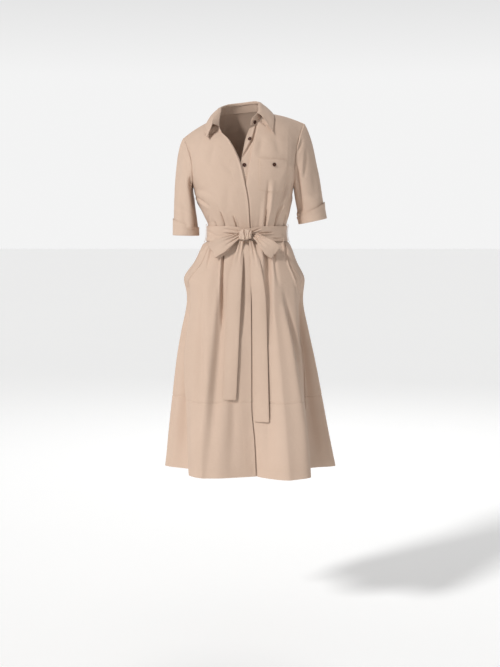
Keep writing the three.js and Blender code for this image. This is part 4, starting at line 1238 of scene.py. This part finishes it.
beltFolds = [
    (1.8, (1.4, 2.4), 0.8, "far", [(-6, -352), (-24, -351), (-50, -350)]),
    (1.6, (1.3, 2.0), 0.7, "far", [(-8, -360), (-22, -365), (-36, -371)]),
    (1.0, (1.6, 2.6), -0.6, "far", [(-4, -344), (-24, -340), (-52, -338)]),
    (2.6, (1.5, 2.2), 0.8, "both", [(48, -351), (64, -350), (82, -349), (102, -348)]),
    (2.2, (1.4, 2.2), 0.7, "far", [(36, -346), (48, -341), (64, -335)]),
    (1.4, (1.6, 2.4), 0.6, "far", [(36, -352), (46, -355), (58, -360)]),
    (1.6, (1.6, 2.4), 0.6, "both", [(96, -363), (110, -366), (128, -366)]),
    (0.9, 4, 0.5, "both", [(-100, -344), (-84, -352), (-66, -362)]),
    (0.8, 5, 0.5, "both", [(-96, -366), (-70, -360), (-46, -358)]),
]
beltInside = (21, 0, -351)


def makeBelt():
    count = belt["around"]
    turn, v = np.meshgrid(np.arange(count) / count, np.linspace(-1, 1, 39))
    angle = turn * 360 - belt["crowdedFront"] * np.degrees(np.sin(turn * 2 * np.pi))
    fromFront = np.mod(angle + 180, 360) - 180
    nearKnot = np.exp(-(fromFront / 16)**2)
    z = belt["centre"] + v * belt["height"] / 2 * (1 - 0.3 * nearKnot)
    grid = polar(angle, ringRadius(angle, z) + cloth["belt"] + 1.3, z)
    front = fade(0, -20, grid[..., 1])
    sink = creased(grid[..., [0, 2]], beltFolds, 2.2) * front + ripple(grid, 55, 47) * 0.8
    sink -= 0.5 * np.abs(v)**12
    grid = moved(grid, sink, beltInside, True)
    knotPiece = makeKnot()
    clothPiece("belt_band", grid, beltInside, "folded", belt["thick"], True)
    for side in ("bottom", "top"):
        sewn("belt", along(grid, side, 3, beltInside, True))


def makeKnot():
    knot = belt["knot"]
    rows, count = 52, 80
    ends, around = np.meshgrid(np.linspace(0.02, 0.98, rows) * np.pi,
                               np.arange(count) / count * 2 * np.pi, indexing="ij")
    ball = points(-np.cos(ends), -np.sin(ends) * np.cos(around), np.sin(ends) * np.sin(around))
    ball = ball / (np.abs(ball)**3.4).sum(-1, keepdims=True)**(1 / 3.4)
    soft = np.sign(ball[..., 1]) * np.abs(ball[..., 1])**0.7
    high = knot["halfZ"] * ball[..., 2]
    grid = points(knot["x"] + knot["halfX"] * ball[..., 0] + knot["lean"] * high,
                  knot["y"] + knot["halfY"] * soft * 0.97, knot["z"] + high)
    folds = [
        (4.2, (1.4, 2.0), 0.6, "all", [(14, -336), (12, -347), (17, -358), (15, -372)]),
        (3.4, (1.3, 1.9), -0.6, "all", [(33, -338), (28, -348), (27, -360), (30, -370)]),
        (2.6, (1.2, 1.8), 0.5, "far", [(-4, -352), (3, -357), (8, -366)]),
        (1.8, (1.2, 1.6), 0.5, "both", [(18, -341), (22, -350), (21, -362)]),
    ]
    middle = (knot["x"], knot["y"], knot["z"])
    front = fade(0.1, -0.3, ball[..., 1])
    relief = creased(grid[..., [0, 2]], folds) * front + ripple(grid, 22, 53) * 0.8
    grid = moved(grid, relief, middle, True)
    verts = grid.reshape(-1, 3)
    j, i = np.meshgrid(np.arange(rows - 1), np.arange(count), indexing="ij")
    a, b = (j * count + i).ravel(), (j * count + (i + 1) % count).ravel()
    faces = np.stack([a, b, b + count, a + count], 1).tolist()
    last = (rows - 1) * count
    faces += [list(range(count))[::-1], list(range(last, last + count))]
    p, q, r = verts[faces[count // 4][:3]]
    if np.dot(np.cross(q - p, r - p), p - np.array(middle)) < 0:
        faces = [face[::-1] for face in faces]
    uvs = np.stack([verts[:, 0] + verts[:, 1], verts[:, 2]], 1)
    return ridesAs(newMesh("bow_knot_cloth", verts, faces, poplin, uvs), "poplin", "bow_knot")


def makeLoop(name, loop):
    start = np.array([loop["startX"], 0, loop["startZ"]], float)
    end = np.array([loop["endX"], 0, loop["endZ"]], float)
    length = np.linalg.norm(end - start)
    axis = (end - start) / length
    across = np.array([-axis[2], 0, axis[0]])
    across = across * (1 if across[2] > 0 else -1)
    turn, v = grid2(110, 32)
    frontShare = np.cos(turn * np.pi)
    out = np.sin(turn * np.pi).clip(0)**0.7
    width = blend(belt["loopStartWidth"], belt["loopWidth"], fade(0, 0.75, out))
    behind = np.maximum(0, -frontShare)
    grid = start + axis * (length * out)[..., None]
    grid = grid + across * ((v - 0.5) * width - loop["drop"] * behind * out)[..., None]
    opened = np.sin(np.pi * blend(0.15, 0.8, out))
    grid[..., 1] = belt["loopBack"] - 3 * out - belt["loopBulge"] / 2 * opened * (1 + frontShare)
    middle = (start + end) / 2 + np.array([0, belt["loopBack"] - belt["loopBulge"] / 2, 0])
    gathered = 1 - fade(0.1, 0.75, out)
    pleats = np.sin(v**1.2 * np.pi * 5.6 + 0.6) * 2.1 * gathered + ripple(grid, 40, 61) * 0.8
    pleats += np.sin(v * np.pi * 9.5 + 1.7) * 0.6 * gathered**2
    pleats += 0.9 * np.sin(v * np.pi * 1.6 + 0.4 + 2 * out) * out
    grid = moved(grid, pleats, middle)
    clothPiece(name, grid, middle, "folded", 1.2)
    for side in ("bottom", "top"):
        sewn("belt", along(grid, side, 2.5, middle))


def makeTail(name, table):
    xAt, widthAt = smooth(table, "z", "x"), smooth(table, "z", "width")
    u, v = grid2(18, 170)
    z = blend(table["z"].min(), table["z"].max(), v)
    x = xAt(z) + (u - 0.5) * widthAt(z)

    # each row lies straight across the folds beneath it, and the rows follow one another softly
    face = skirtPoint(skirtStation(x, z), z)
    under = face[..., 1] - skirtRelief(face)
    slope = np.clip((under[:, -1] - under[:, 0])[:, None], -9, 9) * (u - 0.5)
    rest = (under - slope).min(1)[:, None] + slope - 3.2 - 5 * fade(0, 1, u) * fade(-380, -470, z)
    padded = np.pad(rest, ((12, 12), (0, 0)), mode="edge")
    rest = sum(padded[k:k + len(rest)] for k in range(25)) / 25
    hang = blend(rest, belt["knot"]["y"] + 2, fade(-430, -375, z))
    grid = points(x, hang - 1.5 * np.sin(np.pi * u), z)
    gathered = fade(-470, -385, z)
    relief = np.sin(u**1.4 * np.pi * 3.6 + 0.5) * 1.7 * gathered + ripple(grid, 90, 67) * 1.2
    relief += np.sin(u * np.pi * 7.4 + 2.1 + xAt(z) * 0.1) * 0.7 * fade(-425, -385, z)
    relief -= 0.3 * (np.exp(-(u / 0.03)**2) + np.exp(-((1 - u) / 0.03)**2))
    grid = moved(grid, relief, skirtInside)
    clothPiece(name, grid, skirtInside, "hung", 1.2)
    for side in ("left", "right"):
        sewn("belt", along(grid, side, 2.5, skirtInside))
    sewn("belt", along(grid, "bottom", 2.5, skirtInside))


def makeCarriers():
    for side, label in ((-1, "right"), (1, "left")):
        u, v = grid2(6, 60)
        height = blend(-29, 29, v)
        z = belt["centre"] + height
        angle = side * 90 + (u - 0.5) * np.degrees(belt["carrierWidth"] / 122)
        held = fade(29, 25.5, np.abs(height))
        out = blend(cloth["wall"] + 0.6, cloth["belt"] + cloth["wall"] + 2.3, held)
        grid = polar(angle, ringRadius(angle, z) + out, z)
        clothPiece(f"belt_loop_{label}", grid, beltInside, "sewn", 1.0)
        sewn("belt", along(grid, "left", 1.2, beltInside))
        sewn("belt", along(grid, "right", 1.2, beltInside))


makeBelt()
for loopName, loopSizes in belt["loops"].items():
    makeLoop(loopName, loopSizes)
for tailName, tailTable in belt["tails"].items():
    makeTail(tailName, tailTable)
makeCarriers()
print("belt made")


# Buttons: turned discs with a sunken middle, four holes and a cross of thread

button = {"radius": 5.7, "thick": 2.6, "lift": 0.35, "hole": 0.75, "holesAt": 1.7}


def makeButton(node, tree, x, z):
    place, normal = seenFromFront(tree, x, z)
    r, h = button["radius"], button["thick"]
    radii = np.array([0.001, 0.15, 0.22, 0.28, 0.34, 0.4, 0.46, 0.55, 0.66, 0.76, 0.86, 0.93,
                      0.98, 1, 1, 0.97, 0.9, 0.4, 0.001]) * r
    tops = np.array([0.66, 0.66, 0.66, 0.66, 0.66, 0.66, 0.66, 0.7, 0.9, 0.97, 1, 0.96,
                     0.86, 0.72, 0.35, 0.16, 0.05, 0, 0]) * h
    count = 64
    turn = np.arange(count) / count * 2 * np.pi
    grid = points(radii[:, None] * np.cos(turn), radii[:, None] * np.sin(turn), tops[:, None])
    top = (np.arange(len(radii)) < 8)[:, None]
    for dx in (-1, 1):
        for dy in (-1, 1):
            away = np.hypot(grid[..., 0] - dx * button["holesAt"] / 1.41,
                            grid[..., 1] - dy * button["holesAt"] / 1.41)
            grid[..., 2] -= top * 1.1 * fade(button["hole"], button["hole"] * 0.6, away)
    sideways = unit(np.cross(normal, np.array([0, 0, 1.0])))
    upward = np.cross(sideways, normal)
    basis = np.stack([sideways, upward, normal])
    seat = place + normal * button["lift"]
    j, i = np.meshgrid(np.arange(len(radii) - 1), np.arange(count), indexing="ij")
    a, b = (j * count + i).ravel(), (j * count + (i + 1) % count).ravel()
    faces = np.stack([a, a + count, b + count, b], 1)
    disc = newMesh(node + "_disc", grid.reshape(-1, 3) @ basis + seat, faces, buttonBrown, None, 40)
    ridesAs(disc, "buttons", node)

    verts, parts = [], []
    for sign in (-1, 1):
        share = np.linspace(-1, 1, 15)
        reach = button["holesAt"] / 1.41 * 1.05
        height = h * 0.66 + 0.55 * np.sqrt(np.clip(1 - share**2, 0, 1)) - 0.3
        line = points(share * reach, sign * share * reach, height + 0.12 * (sign + 1))
        ring = np.linspace(0, 2 * np.pi, 9)[:-1]
        flat = unit(np.array([-sign * 1.0, 1.0, 0]))
        tube = (line[:, None] + 0.3 * np.cos(ring)[None, :, None] * flat
                + 0.3 * np.sin(ring)[None, :, None] * np.array([0, 0, 1.0]))
        start = sum(len(part) for part in verts)
        verts.append(tube.reshape(-1, 3))
        j, i = np.meshgrid(np.arange(14), np.arange(8), indexing="ij")
        a, b = (j * 8 + i).ravel(), (j * 8 + (i + 1) % 8).ravel()
        parts.append(np.stack([a, b, b + 8, a + 8], 1) + start)
    thread = newMesh(node + "_thread", np.concatenate(verts) @ basis + seat, np.concatenate(parts),
                     buttonThread)
    ridesAs(thread, "poplin")


bandTree, standTree, patchTree = facing(bandCloth), facing(standCloth), facing(patchCloth)
makeButton("button_stand", standTree, 44, -20)
makeButton("button_neck_1", bandTree, 30.5, -71)
makeButton("button_neck_2", bandTree, 14, -148)
makeButton("button_pocket", patchTree, 102, -147)
print("buttons made")


# Topstitching: one small pointed lozenge for each stitch, joined into a few meshes

stitch = {"pitch": 3.4, "length": 2.3, "width": 0.5, "height": 0.35}


def makeStitches():
    corners = np.array([[-1, 0, 0], [0, -1, 0], [0, 0, 1], [0, 1, 0], [0, 0, -1], [1, 0, 0]])
    sides = np.array([[0, 2, 1], [0, 3, 2], [0, 4, 3], [0, 1, 4],
                      [5, 1, 2], [5, 2, 3], [5, 3, 4], [5, 4, 1]])
    half = np.array([stitch["length"], stitch["width"], stitch["height"]]) / 2
    for group, lines in stitchLines.items():
        verts = []
        for line, normals in lines:
            steps = np.linalg.norm(np.diff(line, axis=0), axis=1)
            run = np.concatenate([[0], np.cumsum(steps)])
            places = np.arange(stitch["pitch"] / 2, run[-1] - 0.5, stitch["pitch"])
            at = np.stack([np.interp(places, run, line[:, k]) for k in range(3)], 1)
            ahead = np.stack([np.interp(places + 0.5, run, line[:, k]) for k in range(3)], 1)
            out = unit(np.stack([np.interp(places, run, normals[:, k]) for k in range(3)], 1))
            forward = unit(ahead - at)
            sideways = np.cross(out, forward)
            frameOf = np.stack([forward, sideways, out], 1)
            verts.append((corners * half) @ frameOf + (at + out * 0.12)[:, None])
        verts = np.concatenate(verts)
        faces = (sides + 6 * np.arange(len(verts))[:, None, None]).reshape(-1, 3)
        thing = newMesh("stitches_" + group, verts.reshape(-1, 3), faces, seamThread)
        ridesAs(thing, "poplin")


makeStitches()
print("stitches made")
